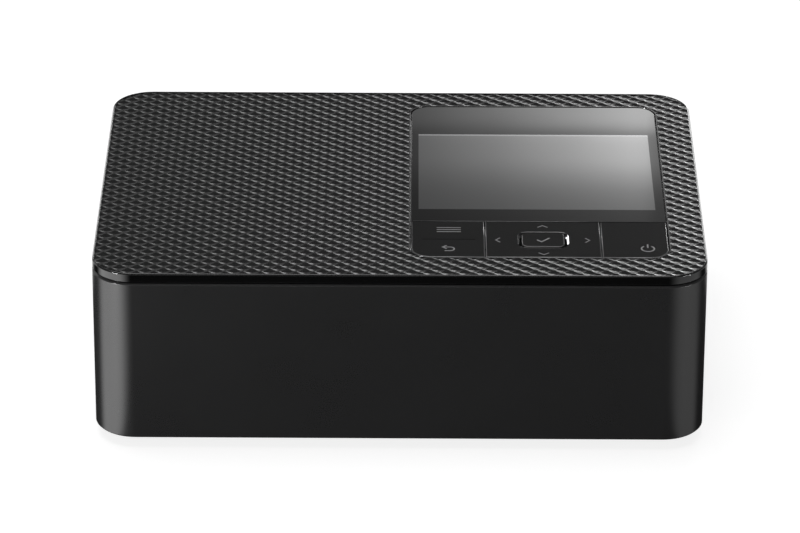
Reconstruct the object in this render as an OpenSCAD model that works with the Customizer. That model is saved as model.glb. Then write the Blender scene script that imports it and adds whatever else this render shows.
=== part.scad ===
// Compact photo printer: satin lower body, glossy top band, textured top, display and key panel.
// Millimetres. X runs left to right, Y front to back, Z up from the table, origin under the middle.

/* [Body] */
// Width of the body, left to right
body_w = 182.2; // [180:0.1:190]
// Depth of the body, front to back
body_d = 133; // [131:0.1:140]
// Height over the table, feet included
body_h = 57.6; // [57.2:0.1:64]
// Radius of the four upright corners
corner_r = 12.5; // [11.5:0.1:13.5]
// Wall of the lower shell and of the front cover
wall_t = 2.2; // [1.9:0.1:2.5]
// Height of the glossy band round the top cover
band_h = 2.8; // [2.8:0.1:3.4]
// Dark seam between the glossy band and the lower body
seam = 0.5; // [0.45:0.05:0.8]
// Chamfer on the edges of the lower body
edge_c = 0.5; // [0.3:0.05:0.7]
// Chamfer on the upper edge of the glossy band
band_c = 0.35; // [0.2:0.05:0.5]
// Thickness of the floor plate
floor_t = 2; // [1.6:0.1:2.4]
// Height of the rubber feet below the body
foot_h = 3.2; // [2.9:0.1:3.6]
// Radius of the rubber feet
foot_r = 5; // [4:0.1:6]
// Depth of the pocket that each foot sits in
foot_pocket = 0.8; // [0.5:0.1:1]

/* [Top] */
// Rim that is left round the textured panel
rim_w = 0.6; // [0.5:0.05:0.9]
// Thickness of the textured panel
tex_t = 0.7; // [0.5:0.05:0.75]
// Thickness of the top cover under the textured panel
plate_t = 1.6; // [1.4:0.1:1.7]
// Width of the panel opening for the display and the keys
panel_w = 77.1; // [76:0.1:78]
// From the panel opening to the rear of the body
panel_back = 10.6; // [10:0.1:12]
// Corner radius of the panel opening
panel_r = 6; // [4:0.1:7]
// From the right side of the body to the panel opening
panel_right = 10.9; // [10.6:0.1:13]
// From the front of the body to the panel opening
panel_front = 12.9; // [12.5:0.1:14]
// How far the display window and the keys lie below the rim
panel_sink = 0.2; // [0.1:0.05:0.3]
// Gap round the window and between the keys
key_gap = 0.3; // [0.25:0.05:0.4]

/* [Display] */
// Thickness of the display window
window_t = 1.5; // [1.2:0.1:1.6]
// Depth of the key row, in front of the window
key_row = 24.8; // [24:0.1:26]
// Width of the display module
lcd_w = 76; // [74:0.5:77]
// From the window's front edge back to the display module
lcd_front = 4.5; // [3.5:0.1:6]
// Thickness of the display module
lcd_t = 3.4; // [2.5:0.1:3.6]
// Width of the display glass
lcd_glass_w = 73; // [71:0.5:73.5]
// From each end of the display module to its glass
glass_in = 3; // [2.5:0.1:4]
// From the display module to the rear edge of the window
lcd_rear = 17.2; // [15:0.1:18]

/* [Keys] */
// Width of the menu and back key
menu_w = 22.3; // [21:0.1:24]
// Width of the power key
power_w = 20.2; // [19:0.1:22]
// Thickness of the key plates
key_t = 1.5; // [1.3:0.1:1.6]
// Depth of the key hinge axes below the key plates
key_axis_drop = 2; // [1.9:0.05:2.2]
// Width of the well round the middle key
well_w = 15.4; // [15:0.1:16]
// Depth of the well, front to back
well_d = 10.8; // [10.6:0.1:11.4]
// Width of the middle key
ok_w = 12.5; // [12:0.1:12.8]
// Depth of the middle key, front to back
ok_d = 9.3; // [9:0.1:9.5]
// How far the middle key stands above the others
ok_rise = 0.1; // [0:0.05:0.2]
// Radius of the key hinge pins
key_pin_r = 0.8; // [0.6:0.05:0.9]
// Radius of the rocker frame pins under the direction key
nav_pin_r = 0.6; // [0.5:0.05:0.65]
// Radius of the middle key's stem
ok_stem_r = 2.2; // [1.8:0.1:2.4]

/* [Front cover] */
// Depth of the cover's side wings, from the front
wing_d = 11.5; // [11:0.1:12]
// From the front of the body back to the cover hinge
hinge_in = 6; // [5.8:0.1:6.2]
// From the lower edge of the body up to the cover hinge
hinge_up = 5.4; // [5.3:0.1:5.8]
// Gap between the cover wings and the shell
cover_gap = 0.4; // [0.35:0.05:0.6]
// Thickness of the lip that turns under the front
lip_t = 2; // [1.4:0.1:2]
// Radius of the cover hinge pins
cover_pin_r = 1.5; // [1.2:0.05:1.7]
// From the sides of the body to the hinge lugs
lug_in = 16.1; // [16.1:0.1:21]

/* [Paper slot] */
// From each side plate in to the paper slot
slot_in = 6; // [5.5:0.1:7]
// Height of the slot
slot_h = 29.8; // [29:0.1:31]
// Thickness of the frame round the slot
frame_t = 1.8; // [1.6:0.1:1.8]
// Thickness of the shutter inside the slot
flap_t = 1.2; // [1:0.05:1.3]
// Radius of the shutter pins
flap_pin_r = 0.8; // [0.6:0.05:0.9]
// Height of the tray walls beside the paper cassette
tray_h = 15; // [12:0.5:16]
// Wall of the cassette tray
tray_t = 2.4; // [2:0.1:2.6]

/* [Mechanism] */
// From the sides of the body in to the side plates
plate_in = 28.1; // [27.6:0.1:28.6]
// Thickness of the side plates
side_t = 1.2; // [1:0.1:1.4]
// From the rear of the body to the platen axis
platen_back = 38.5; // [38.1:0.1:38.7]
// Height of the platen axis over the floor plate
platen_up = 12.8; // [12.4:0.1:12.9]
// Radius of the platen roller
platen_r = 7.5; // [7:0.1:7.6]
// Radius of the platen shaft
platen_shaft_r = 3; // [2.5:0.1:3.2]
// From each side plate to the platen's rubber
platen_in = 11; // [9:0.5:13]
// From the rear of the body to the feed roller axis
feed_back = 75.5; // [75.1:0.1:75.8]
// Height of the feed roller axis over the floor plate
feed_up = 14.3; // [13.8:0.1:14.4]
// Radius of the feed roller
feed_r = 6; // [5.6:0.1:6]
// Radius of the feed roller shaft
feed_shaft_r = 2.5; // [2:0.1:2.8]
// Radius of the pinch roller
pinch_r = 4; // [3.6:0.1:4.2]
// Radius of the pinch roller shaft
pinch_shaft_r = 1.5; // [1.2:0.1:2]
// Depth of the print head, front to back
head_d = 14.6; // [13:0.1:14.8]
// Gap between the feed and the pinch roller
nip = 0.3; // [0.2:0.05:0.5]
// From the rear of the body to the pickup roller axis
pickup_back = 85.9; // [85.7:0.1:86.1]
// Radius of the pickup roller
pickup_r = 6; // [5.4:0.1:6.2]
// Radius of the pickup roller shaft
pickup_shaft_r = 2; // [1.6:0.1:2.4]
// Half length of the pickup rubber
pickup_l = 12; // [8:0.5:16]
// Running clearance between a shaft and its bore
run = 0.05; // [0.04:0.01:0.08]

/* [Gears] */
// Gear module
gear_m = 0.8; // [0.78:0.01:0.82]
// Teeth of the platen gear, the feed gear and the idler
gear_teeth = 24; // [24:1:25]
// Teeth of the pickup gear
pickup_teeth = 14; // [13:1:15]
// Teeth of the motor pinion
pinion_teeth = 12; // [12:1:14]
// Width of the gears
gear_w = 5; // [4:0.1:5.2]
// Allowance added to each centre distance
gear_play = 0.1; // [0.06:0.01:0.12]
// Thinning of each tooth at the pitch circle
backlash = 0.16; // [0.12:0.01:0.2]
// Radius of the drive motor
motor_r = 11; // [9:0.1:11.4]
// Length of the drive motor
motor_l = 14.6; // [12:0.1:15]

/* [Ink cassette] */
// From the rear of the body to the supply spool
supply_back = 56.5; // [56.2:0.1:56.9]
// From the rear of the body to the take-up spool
takeup_back = 20.5; // [20.5:0.1:20.8]
// Height of the spool axes over the floor plate
spool_up = 32.8; // [32.4:0.1:33]
// Outer radius of the spool tubes
tube_r = 9; // [8.6:0.1:9.1]
// Wall of the spool tubes
tube_t = 1; // [0.8:0.1:1.2]
// Radius of the spindles that carry the spools
spindle_r = 2.2; // [1.8:0.1:2.4]
// From each side plate in to the ink cassette's tubes
cassette_in = 5; // [4:0.5:6]
// Length of the cassette's grip
grip_l = 18; // [14:0.5:20]
// Radius of the ribbon wound on the supply spool
supply_wound_r = 6.4; // [5:0.1:6.6]
// Radius of the ribbon wound on the take-up spool
takeup_wound_r = 5.2; // [5:0.1:6.6]

/* [Ink door] */
// From the middle of the card slot back to the ink door
door_after = 22; // [21.5:0.1:23]
// From the ink door's rear edge to the rear of the body
door_back = 11.5; // [11.1:0.1:11.5]
// Lower edge of the ink door over the table
door_low = 12; // [11:0.1:14]
// From the ink door's upper edge up to the seam
door_top = 4.8; // [4.3:0.1:5.8]
// Gap round the doors and flaps in the shell
door_gap = 0.3; // [0.25:0.05:0.4]
// Radius of the ink door pins
door_pin_r = 0.7; // [0.5:0.05:0.75]

/* [Ports] */
// Width of the memory card slot
card_w = 24.6; // [24:0.1:25]
// Height of the memory card slot
card_h = 2.6; // [2.3:0.1:2.8]
// From the front of the body to the card slot and the port below it
card_front = 29.5; // [29.1:0.1:29.9]
// Height of the side circuit board
io_z = 36.4; // [35:0.1:38]
// From the right side of the body to the power inlet
jack_in = 20.6; // [19.1:0.1:20.9]
// Height of the power inlet
jack_z = 14; // [13:0.1:15]
// Radius of the power inlet's nose
jack_r = 4.8; // [4.4:0.1:5]
// From the left side of the body to the small data port
usbc_in = 19.1; // [17.1:0.1:21.1]
// Height of the small data port
usbc_z = 12; // [11.8:0.1:14]
// Number of cooling slots in the left side
side_vents = 9; // [5:1:10]
// Number of cooling slots in the rear
rear_vents = 9; // [5:1:10]
// Pitch of the cooling slots
vent_pitch = 4; // [3.6:0.1:4.2]
// Width of a cooling slot
vent_w = 1.8; // [1.4:0.1:2.2]
// Height of the rear paper slot
exit_h = 4.4; // [4.2:0.1:5]
// From each side plate in to the rear paper slot
exit_in = 10; // [9:0.25:12]

/* [Hidden] */
$fn = 64;
e = 0.01;

// Levels and faces that follow from the sizes
hx = body_w / 2;
fy = -body_d / 2;
by = body_d / 2;
z_low = foot_h;
z_floor = z_low + floor_t;
z_seam = body_h - band_h - seam;
z_band = body_h - band_h;
z_plate1 = body_h - 0.1 - tex_t;
z_plate0 = z_plate1 - plate_t;
z_key1 = body_h - panel_sink;
z_key0 = z_key1 - key_t;
z_axis = z_key0 - key_axis_drop;
z_ledge = z_key1 - window_t;

// Panel opening
pan_x1 = hx - panel_right;
pan_x0 = pan_x1 - panel_w;
pan_y0 = fy + panel_front;
panel_d = body_d - panel_front - panel_back;
pan_y1 = pan_y0 + panel_d;
row_y = pan_y0 + key_row;
div1 = pan_x0 + menu_w;
div2 = pan_x1 - power_w;
nav_x = (div1 + div2) / 2;
nav_y = (pan_y0 + row_y) / 2 - 0.3;
nav_hw = 9.2;
nav_hd = 6.9;
lcd_x = (pan_x0 + pan_x1) / 2 - 0.3;
lcd_d = pan_y1 - row_y - lcd_front - lcd_rear;
lcd_glass_d = lcd_d - 2 * glass_in;
lcd_y = row_y + lcd_front + lcd_d / 2;
bar_w = 2.4;
z_bar = z_axis + 0.9;
z_web0 = z_axis - 2;
z_web1 = z_axis - 1.2;
z_act = z_web0 + 0.3;
dome_h = 0.8;
mat_t = 0.8;
board_t = 1.6;
z_mat1 = z_act - 0.6 - dome_h;
z_mat0 = z_mat1 - mat_t;
z_kb0 = z_mat0 - board_t;
domes = [[pan_x0 + menu_w / 2, nav_y - 6.5], [pan_x0 + menu_w / 2, nav_y + 6.5], [nav_x - 13, nav_y],
  [nav_x + 13, nav_y], [nav_x, nav_y - 10.2], [nav_x, nav_y + 10.2], [nav_x, nav_y],
  [pan_x1 - power_w / 2, nav_y - 6]];

// Front cover
lug_x = hx - lug_in;
hin_y = fy + hinge_in;
hin_z = z_low + hinge_up;
wing_y = fy + wing_d;
wing_r = wing_d - hinge_in;
sill_z0 = hin_z - 0.5;
sill_z1 = hin_z + 1.5;
sill_y = hin_y + 2.2;
step_y = hin_y + 8.5;
sill_x = hx - 5.1;

// The mechanism keeps its distances from the sides and the rear, and its heights
// and radii follow the height of the space inside
inner_h = z_plate0 - z_floor;
kz = inner_h / 50;
plate_x = hx - plate_in;
platen_l = plate_x - platen_in;
cassette_l = plate_x - cassette_in;
slot_w = 2 * (plate_x - slot_in);
exit_w = 2 * (plate_x - exit_in);
platen_y = by - platen_back;
feed_y = by - feed_back;
pickup_y = by - pickup_back;
supply_y = by - supply_back;
takeup_y = by - takeup_back;
platen_z = z_floor + kz * platen_up;
feed_z = z_floor + kz * feed_up;
spool_z = z_floor + kz * spool_up;
plat_r = kz * platen_r;
fd_r = kz * feed_r;
pnch_r = kz * pinch_r;
pick_r = kz * pickup_r;
mot_r = kz * motor_r;
tub_r = kz * tube_r;
supply_wr = kz * supply_wound_r;
takeup_wr = kz * takeup_wound_r;
card_y = fy + card_front;
door_front = card_y + door_after;
door_rear = by - door_back;
door_high = z_seam - door_top;
jack_x = hx - jack_in;
usbc_x = -hx + usbc_in;

// Paper slot
deck_t = 1;
deck_z = sill_z1 + deck_t;
slot_z0 = deck_z + 0.1;
slot_z1 = slot_z0 + slot_h;
frame_y = sill_y;
flap_y = frame_y + frame_t / 2;
flap_z = slot_z1 - flap_t / 2 - 0.2;
tray_y0 = frame_y + frame_t + 0.1;
tray_y1 = feed_y - fd_r - 1;

// Gear places: each follower sits on circles round the gears that it meets
function pair_d(a, b) = gear_m * (a + b) / 2 + gear_play;
base_dy = platen_y - feed_y;
base_dz = platen_z - feed_z;
base_l = sqrt(base_dy * base_dy + base_dz * base_dz);
idle_d = pair_d(gear_teeth, gear_teeth);
idle_h = sqrt(max(idle_d * idle_d - base_l * base_l / 4, 0));
idle_y = (platen_y + feed_y) / 2 - idle_h * base_dz / base_l;
idle_z = (platen_z + feed_z) / 2 + idle_h * base_dy / base_l;
pin_d = pair_d(gear_teeth, pinion_teeth);
motor_y = idle_y;
motor_z = idle_z + pin_d;
pick_d = pair_d(gear_teeth, pickup_teeth);
pick_dy = pickup_y - feed_y;
pickup_z = feed_z + sqrt(pick_d * pick_d - pick_dy * pick_dy);
pinch_z = feed_z + fd_r + nip + pnch_r;
gear_x1 = -plate_x - side_t - 1;
gear_x0 = gear_x1 - gear_w;
bracket_x1 = gear_x0 - 0.8;
bracket_t = 1.2;

// Angle of one tooth of each gear, so that the teeth meet at rest
function mesh(phase, za, zb, th) = th + 180 + 180 / zb - (phase - th) * za / zb;
th_pi = atan2(idle_z - platen_z, idle_y - platen_y);
th_if = atan2(feed_z - idle_z, feed_y - idle_y);
th_im = atan2(motor_z - idle_z, motor_y - idle_y);
th_fp = atan2(pickup_z - feed_z, pickup_y - feed_y);
ph_platen = 0;
ph_idler = mesh(ph_platen, gear_teeth, gear_teeth, th_pi);
ph_feed = mesh(ph_idler, gear_teeth, gear_teeth, th_if);
ph_motor = mesh(ph_idler, gear_teeth, pinion_teeth, th_im);
ph_pickup = mesh(ph_feed, gear_teeth, pickup_teeth, th_fp);

// Head
nip_z = platen_z + plat_r;
head_z0 = nip_z + 0.55;
head_z1 = head_z0 + 10 * kz;
arm_z0 = spool_z + tub_r + 0.5;
sink_z1 = arm_z0;
arm_z1 = arm_z0 + 2;
hsh_y = by - 8;
hsh_z = arm_z1 - 1.5;
hsh_r = 2;
plate_y0 = pickup_y - 4.2;
plate_y1 = hsh_y + 4;
plate_top = hsh_z + 3.6;

// Ink door
door_ax = hx - wall_t / 2;
door_ay = door_rear - wall_t / 2;
exit_z0 = nip_z - 0.7;
exit_z1 = exit_z0 + exit_h;

// Posts that the top cover is screwed to, and the feet
post_r = 3.2;
posts = [[hx - 7.3, card_y + 17], [-(hx - 7.3), fy + 19.5], [hx - 8.6, by - 9.5], [-(hx - 8.6), by - 9.5]];
feet = [[hx - 17, fy + 22.5], [-(hx - 17), fy + 22.5], [hx - 17, by - 16.5], [-(hx - 17), by - 16.5]];
io_y0 = card_y - card_w / 2 - 2.5;
io_y1 = card_y + card_w / 2 + 0.7;
io_x0 = plate_x + side_t + 0.8;
io_posts = [[io_x0 + 3.5, io_y0 + 3], [io_x0 + 3.5, io_y1 - 3], [hx - 7, io_y0 + 3]];
mb_x0 = -plate_x + 1.5;
mb_x1 = pan_x0 - 9.1;
mb_y0 = fy + 17;
mb_y1 = by - 52.5;
mb_z1 = z_plate0 - 3.2;

// Box between two corners
module box(x0, x1, y0, y1, z0, z1) {
  translate([x0, y0, z0])
    cube([x1 - x0, y1 - y0, z1 - z0]);
}

// Round bar along X
module rod(x0, x1, y, z, r) {
  translate([x0, y, z])
    rotate([0, 90, 0])
      cylinder(r = r, h = x1 - x0);
}

// Round bar along Y
module rod_y(y0, y1, x, z, r) {
  translate([x, y0, z])
    rotate([-90, 0, 0])
      cylinder(r = r, h = y1 - y0);
}

// Round bar along Z
module rod_z(z0, z1, x, y, r) {
  translate([x, y, z0])
    cylinder(r = r, h = z1 - z0);
}

// Rounded rectangle about the origin
module plan(w, d, r) {
  square([w - 2 * r, d], center = true);
  square([w, d - 2 * r], center = true);
  for (sx = [-1, 1], sy = [-1, 1])
    translate([sx * (w / 2 - r), sy * (d / 2 - r)])
      circle(r = r);
}

// Upright prism on a rounded rectangle
module block(w, d, r, z0, z1, x = 0, y = 0) {
  translate([x, y, z0])
    linear_extrude(z1 - z0)
      plan(w, d, r);
}

// The same prism with chamfers ca above and cb below
module slab(w, d, r, z0, z1, ca, cb) {
  side = [for (s = [-1, 1]) [s, 1]];
  for (sx = [-1, 1], sy = [-1, 1])
    translate([sx * (w / 2 - r), sy * (d / 2 - r), 0]) {
      translate([0, 0, z0])
        cylinder(r1 = r - cb, r2 = r, h = cb);
      translate([0, 0, z0 + cb])
        cylinder(r = r, h = z1 - z0 - ca - cb);
      translate([0, 0, z1 - ca])
        cylinder(r1 = r, r2 = r - ca, h = ca);
    }
  translate([w / 2 - r, 0, 0])
    rotate([90, 0, -90])
      linear_extrude(w - 2 * r)
        cross_section(d, z0, z1, ca, cb);
  translate([0, d / 2 - r, 0])
    rotate([90, 0, 0])
      linear_extrude(d - 2 * r)
        cross_section(w, z0, z1, ca, cb);
}

module cross_section(w, z0, z1, ca, cb) {
  h = w / 2;
  polygon([[-h + cb, z0], [h - cb, z0], [h, z0 + cb], [h, z1 - ca], [h - ca, z1], [-h + ca, z1],
    [-h, z1 - ca], [-h, z0 + cb]]);
}

// Profile in Y and Z, drawn out along X
module along_x(x0, x1, pts) {
  translate([x0, 0, 0])
    rotate([90, 0, 90])
      linear_extrude(x1 - x0)
        polygon(pts);
}

// Involute tooth outline: half angle of the tooth at radius r
function inv(a) = tan(a) * 180 / PI - a;
function half_tooth(z, r) =
  let (rp = gear_m * z / 2, rb = rp * cos(20), s = (PI * gear_m / 2 - backlash) / rp * 90 / PI)
  s + inv(20) - inv(acos(min(rb / max(r, rb), 1)));
function tooth_radii(z) =
  let (rp = gear_m * z / 2, r0 = max(rp - 1.05 * gear_m, rp * cos(20)), r1 = rp + 0.92 * gear_m)
  [for (i = [0:3]) r0 + (r1 - r0) * i / 3];
function polar(r, a) = [r * cos(a), r * sin(a)];
function tooth(z, i) =
  let (rr = tooth_radii(z), root = gear_m * z / 2 - 1.25 * gear_m, c = i * 360 / z)
  concat([polar(root, c - half_tooth(z, rr[0]) - 0.6)],
    [for (r = rr) polar(r, c - half_tooth(z, r))],
    [for (k = [3:-1:0]) polar(rr[k], c + half_tooth(z, rr[k]))],
    [polar(root, c + half_tooth(z, rr[0]) + 0.6)]);

module gear(z, phase, y, x_mid_y, bore_r) {
  translate([gear_x0, y, x_mid_y])
    rotate([90, 0, 90])
      difference() {
        linear_extrude(gear_w)
          rotate(phase)
            polygon([for (i = [0:z - 1]) each tooth(z, i)]);
        translate([0, 0, -1])
          cylinder(r = bore_r, h = gear_w + 2);
      }
}

// ---- Outer pieces ----

module bottom_case() {
  color("#1c1c1e")
    difference() {
      union() {
        intersection() {
          block(body_w - 2 * wall_t - 0.3, body_d - 2 * wall_t - 0.3, corner_r - wall_t - 0.15, z_low, z_floor);
          box(-hx, hx, step_y, by, z_low - 1, z_floor + 1);
        }
        box(-sill_x, sill_x, step_y, step_y + 2, z_low, sill_z1);
        box(-sill_x, sill_x, sill_y, step_y + e, sill_z0, sill_z1);
        for (s = [-1, 1]) {
          rod(s * lug_x - 1.8, s * lug_x + 1.8, hin_y, hin_z, 3);
          box(s * lug_x - 1.8, s * lug_x + 1.8, hin_y, sill_y, sill_z0, hin_z + 2.6);
          box(s * lug_x - 1.8, s * lug_x + 1.8, hin_y, sill_y + 1, sill_z0, sill_z1);
        }
        for (p = posts)
          rod_z(z_floor - e, z_plate0, p[0], p[1], post_r);
        for (p = io_posts)
          rod_z(z_floor - e, io_z, p[0], p[1], 2.2);
        box(jack_x - 4, jack_x + 4, by - wall_t - 11, by - wall_t - 1, z_floor - e, jack_z - 5);
        box(usbc_x - 4, usbc_x + 4, by - wall_t - 8, by - wall_t - 1, z_floor - e, usbc_z - 1.6);
        for (s = [-1, 1])
          box(s * 30 - 0.8, s * 30 + 0.8, tray_y1 + 2, by - 8, z_floor - e, z_floor + 1.6);
      }
      for (s = [-1, 1])
        rod(s * lug_x - 3, s * lug_x + 3, hin_y, hin_z, cover_pin_r + run);
      for (p = posts) {
        rod_z(z_low - 1, z_floor, p[0], p[1], 2.9);
        rod_z(z_floor - 1, z_floor + 9, p[0], p[1], 1.25);
      }
      for (p = feet)
        rod_z(z_low - 1, z_low + foot_pocket, p[0], p[1], foot_r + 0.1);
    }
}

module outer_shell() {
  color("#1e1e20")
    difference() {
      slab(body_w, body_d, corner_r, z_low, z_seam, edge_c, edge_c);
      block(body_w - 2 * wall_t, body_d - 2 * wall_t, corner_r - wall_t, z_low - 1, z_seam + 1);
      // Front edge: straight above the hinge, round it below
      box(-hx - 1, hx + 1, fy - 1, wing_y + cover_gap, hin_z, z_seam + 1);
      box(-hx - 1, hx + 1, fy - 1, hin_y, z_low - 1, hin_z + e);
      rod(-hx - 1, hx + 1, hin_y, hin_z, wing_r + cover_gap);
      // Ink door opening with its thumb notch and pin holes
      box(hx - wall_t - 1, hx + 1, door_front - door_gap, door_ay + wall_t / 2 + door_gap,
        door_low - door_gap, door_high + door_gap);
      translate([hx + 4.8, door_front - door_gap, (door_low + door_high) / 2])
        sphere(r = 6);
      rod_z(door_low - 2.2, door_high + 2.2, door_ax, door_ay, door_pin_r + run);
      // Memory card slot and data port
      box(hx - wall_t - 1, hx + 1, card_y - card_w / 2 - 0.3, card_y + card_w / 2 + 0.3,
        io_z + board_t + 0.4, io_z + board_t + 1 + card_h);
      box(hx - wall_t - 1, hx + 1, card_y - 6.6, card_y + 6.6, io_z - 6.5, io_z - 0.8);
      // Rear paper slot and its pin holes
      box(-exit_w / 2 - door_gap, exit_w / 2 + door_gap, by - wall_t - 1, by + 1, exit_z0, exit_z1 + 1.6);
      rod(-exit_w / 2 - 2.2, exit_w / 2 + 2.2, by - wall_t / 2, exit_z1 + 0.4, 0.65);
      // Power inlet, data port and cooling slots
      rod_y(by - wall_t - 1, by + 1, jack_x, jack_z, jack_r + 0.2);
      translate([usbc_x, by - wall_t - 1, usbc_z])
        rotate([-90, 0, 0])
          linear_extrude(wall_t + 2)
            plan(9.5, 3.8, 1.85);
      for (i = [0:rear_vents - 1])
        box(-hx + 19.1 + i * vent_pitch, -hx + 19.1 + vent_w + i * vent_pitch, by - wall_t - 1, by + 1,
          exit_z1 + 5, exit_z1 + 15);
      for (i = [0:side_vents - 1])
        box(-hx - 1, -hx + wall_t + 1, by - 64.5 + i * vent_pitch, by - 64.5 + vent_w + i * vent_pitch, 12, 26);
      // Slot for a security lock
      box(-hx - 1, -hx + wall_t + 1, by - 19.5, by - 12.5, 11, 14);
    }
}

module top_cover() {
  color("#0c0c0d")
    difference() {
      union() {
        difference() {
          slab(body_w, body_d, corner_r, z_band, body_h, band_c, 0.2);
          block(body_w - 2 * wall_t, body_d - 2 * wall_t, corner_r - wall_t, z_band - 1, z_plate0);
          block(body_w - 2 * rim_w, body_d - 2 * rim_w, corner_r - rim_w, z_plate1, body_h + 1);
        }
        // Locating lip behind the seam
        difference() {
          block(body_w - 2 * wall_t - 0.5, body_d - 2 * wall_t - 0.5, corner_r - wall_t - 0.25, z_band - 1.8, z_plate0 + e);
          block(body_w - 2 * wall_t - 2.9, body_d - 2 * wall_t - 2.9, corner_r - wall_t - 1.45, z_band - 3, z_plate0 + 1);
        }
        // Rim that joins the lip to the band
        difference() {
          block(body_w - wall_t, body_d - wall_t, corner_r - wall_t / 2, z_band + 0.2, z_plate0 + e);
          block(body_w - 2 * wall_t - 1, body_d - 2 * wall_t - 1, corner_r - wall_t - 0.5, z_band - 1, z_plate0 + 1);
        }
        for (x = [mb_x0 + 4, mb_x1 - 4], y = [mb_y0 + 4, mb_y1 - 4])
          rod_z(mb_z1, z_plate0 + e, x, y, 2);
      }
      // Panel opening, with a ledge under the display window
      intersection() {
        block(panel_w, panel_d, panel_r, z_ledge, body_h + 1, (pan_x0 + pan_x1) / 2, (pan_y0 + pan_y1) / 2);
        box(pan_x0 - 1, pan_x1 + 1, pan_y0 - 1, pan_y1 + 1, z_ledge - 1, body_h + 2);
      }
      intersection() {
        block(panel_w, panel_d, panel_r, z_plate0 - 1, body_h, (pan_x0 + pan_x1) / 2, (pan_y0 + pan_y1) / 2);
        box(pan_x0 - 1, pan_x1 + 1, pan_y0 - 1, row_y + 0.3, z_plate0 - 2, body_h + 1);
      }
      box(lcd_x - lcd_glass_w / 2 - 0.3, lcd_x + lcd_glass_w / 2 + 0.3, lcd_y - lcd_glass_d / 2 - 0.3,
        lcd_y + lcd_glass_d / 2 + 0.3, z_plate0 - 1, z_ledge + 1);
    }
}

module textured_panel() {
  color("#2a2a2c")
    difference() {
      block(body_w - 2 * rim_w - 0.1, body_d - 2 * rim_w - 0.1, corner_r - rim_w - 0.05, z_plate1, z_plate1 + tex_t);
      block(panel_w, panel_d, panel_r, z_plate1 - 1, body_h + 1, (pan_x0 + pan_x1) / 2, (pan_y0 + pan_y1) / 2);
    }
}

// Outline of the panel opening less the gap, cut to one key or window
module inlay(x0, x1, y0, y1, z0, z1) {
  intersection() {
    block(panel_w - 2 * key_gap, panel_d - 2 * key_gap, panel_r - key_gap, z0, z1,
      (pan_x0 + pan_x1) / 2, (pan_y0 + pan_y1) / 2);
    box(x0, x1, y0, y1, z0 - 1, z1 + 1);
  }
}

module lcd_window() {
  color("#3a3a3c")
    inlay(pan_x0, pan_x1, row_y + key_gap / 2, pan_y1, z_ledge, z_key1);
}

module lcd_module() {
  color("#8d8f92") {
    block(lcd_w, lcd_d, 0.6, z_plate0 - lcd_t, z_plate0, lcd_x, lcd_y);
    block(lcd_glass_w, lcd_glass_d, 0.4, z_plate0 - e, z_ledge - 0.05, lcd_x, lcd_y);
  }
}

// ---- Keys ----

// Moulded carrier under the keys, with the bearings of every key
module key_frame() {
  color("#3c3d40")
    difference() {
      union() {
        difference() {
          box(pan_x0 - 1.5, pan_x1 + 1.3, pan_y0 - 1.5, row_y + 1.5, z_mat1, z_plate0);
          block(panel_w, panel_d, panel_r, z_mat1 - 1, z_plate0 + 1, (pan_x0 + pan_x1) / 2, (pan_y0 + pan_y1) / 2);
        }
        box(pan_x0 - 1, pan_x1 + 1, row_y, row_y + 1.5, z_mat1, z_plate0);
        for (x = [div1, div2]) {
          box(x - bar_w / 2, x + bar_w / 2, pan_y0 - e, row_y + e, z_web0, z_bar);
          box(x - bar_w / 2, x + bar_w / 2, nav_y - 1.6, nav_y + 1.6, z_web0, z_axis + 1.25);
        }
        box(div2 - bar_w / 2, div2 + bar_w / 2, row_y - 4.3, row_y, z_web0, z_axis + 1.25);
        box(pan_x0 - e, pan_x0 + 1.8, nav_y - 1.6, nav_y + 1.6, z_web0, z_axis + 1.25);
        box(pan_x1 - 1.8, pan_x1 + e, row_y - 4.3, row_y, z_web0, z_axis + 1.25);
        box(nav_x - 3.4, nav_x + 3.4, pan_y0 - e, row_y + e, z_web0, z_web1);
        for (s = [-1, 1])
          box(nav_x - 1.4, nav_x + 1.4, nav_y + s * 8.1 - 0.8, nav_y + s * 8.1 + 0.8, z_web0, z_bar);
      }
      rod(div1 - 2, div1 + 0.4, nav_y, z_axis, key_pin_r + run);
      rod(pan_x0 + 0.3, pan_x0 + 3, nav_y, z_axis, key_pin_r + run);
      rod(div2 - 0.4, div2 + 2, row_y - 2.5, z_axis, key_pin_r + run);
      rod(pan_x1 - 3, pan_x1 - 0.3, row_y - 2.5, z_axis, key_pin_r + run);
      rod_y(nav_y - 9.5, nav_y + 9.5, nav_x, z_axis, nav_pin_r + run);
      rod_z(z_web0 - 1, z_web1 + 1, nav_x, nav_y, ok_stem_r + 0.1);
      for (s = [-1, 1])
        rod_z(z_web0 - 1, z_web1 + 3, nav_x, nav_y + s * 10.2, 1.3);
    }
}

module keypad_mat() {
  color("#5a5c60") {
    box(pan_x0 - 0.5, pan_x1 + 0.3, pan_y0 - 0.5, row_y + 0.5, z_mat0, z_mat1);
    for (d = domes)
      translate([d[0], d[1], z_mat1 - e])
        cylinder(r1 = 2.6, r2 = 1.8, h = dome_h + e);
  }
}

module key_board() {
  color("#1f5a38")
    box(pan_x0 - 1.2, pan_x1 + 1, pan_y0 - 1.2, row_y + 1.2, z_kb0, z_mat0);
}

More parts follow.
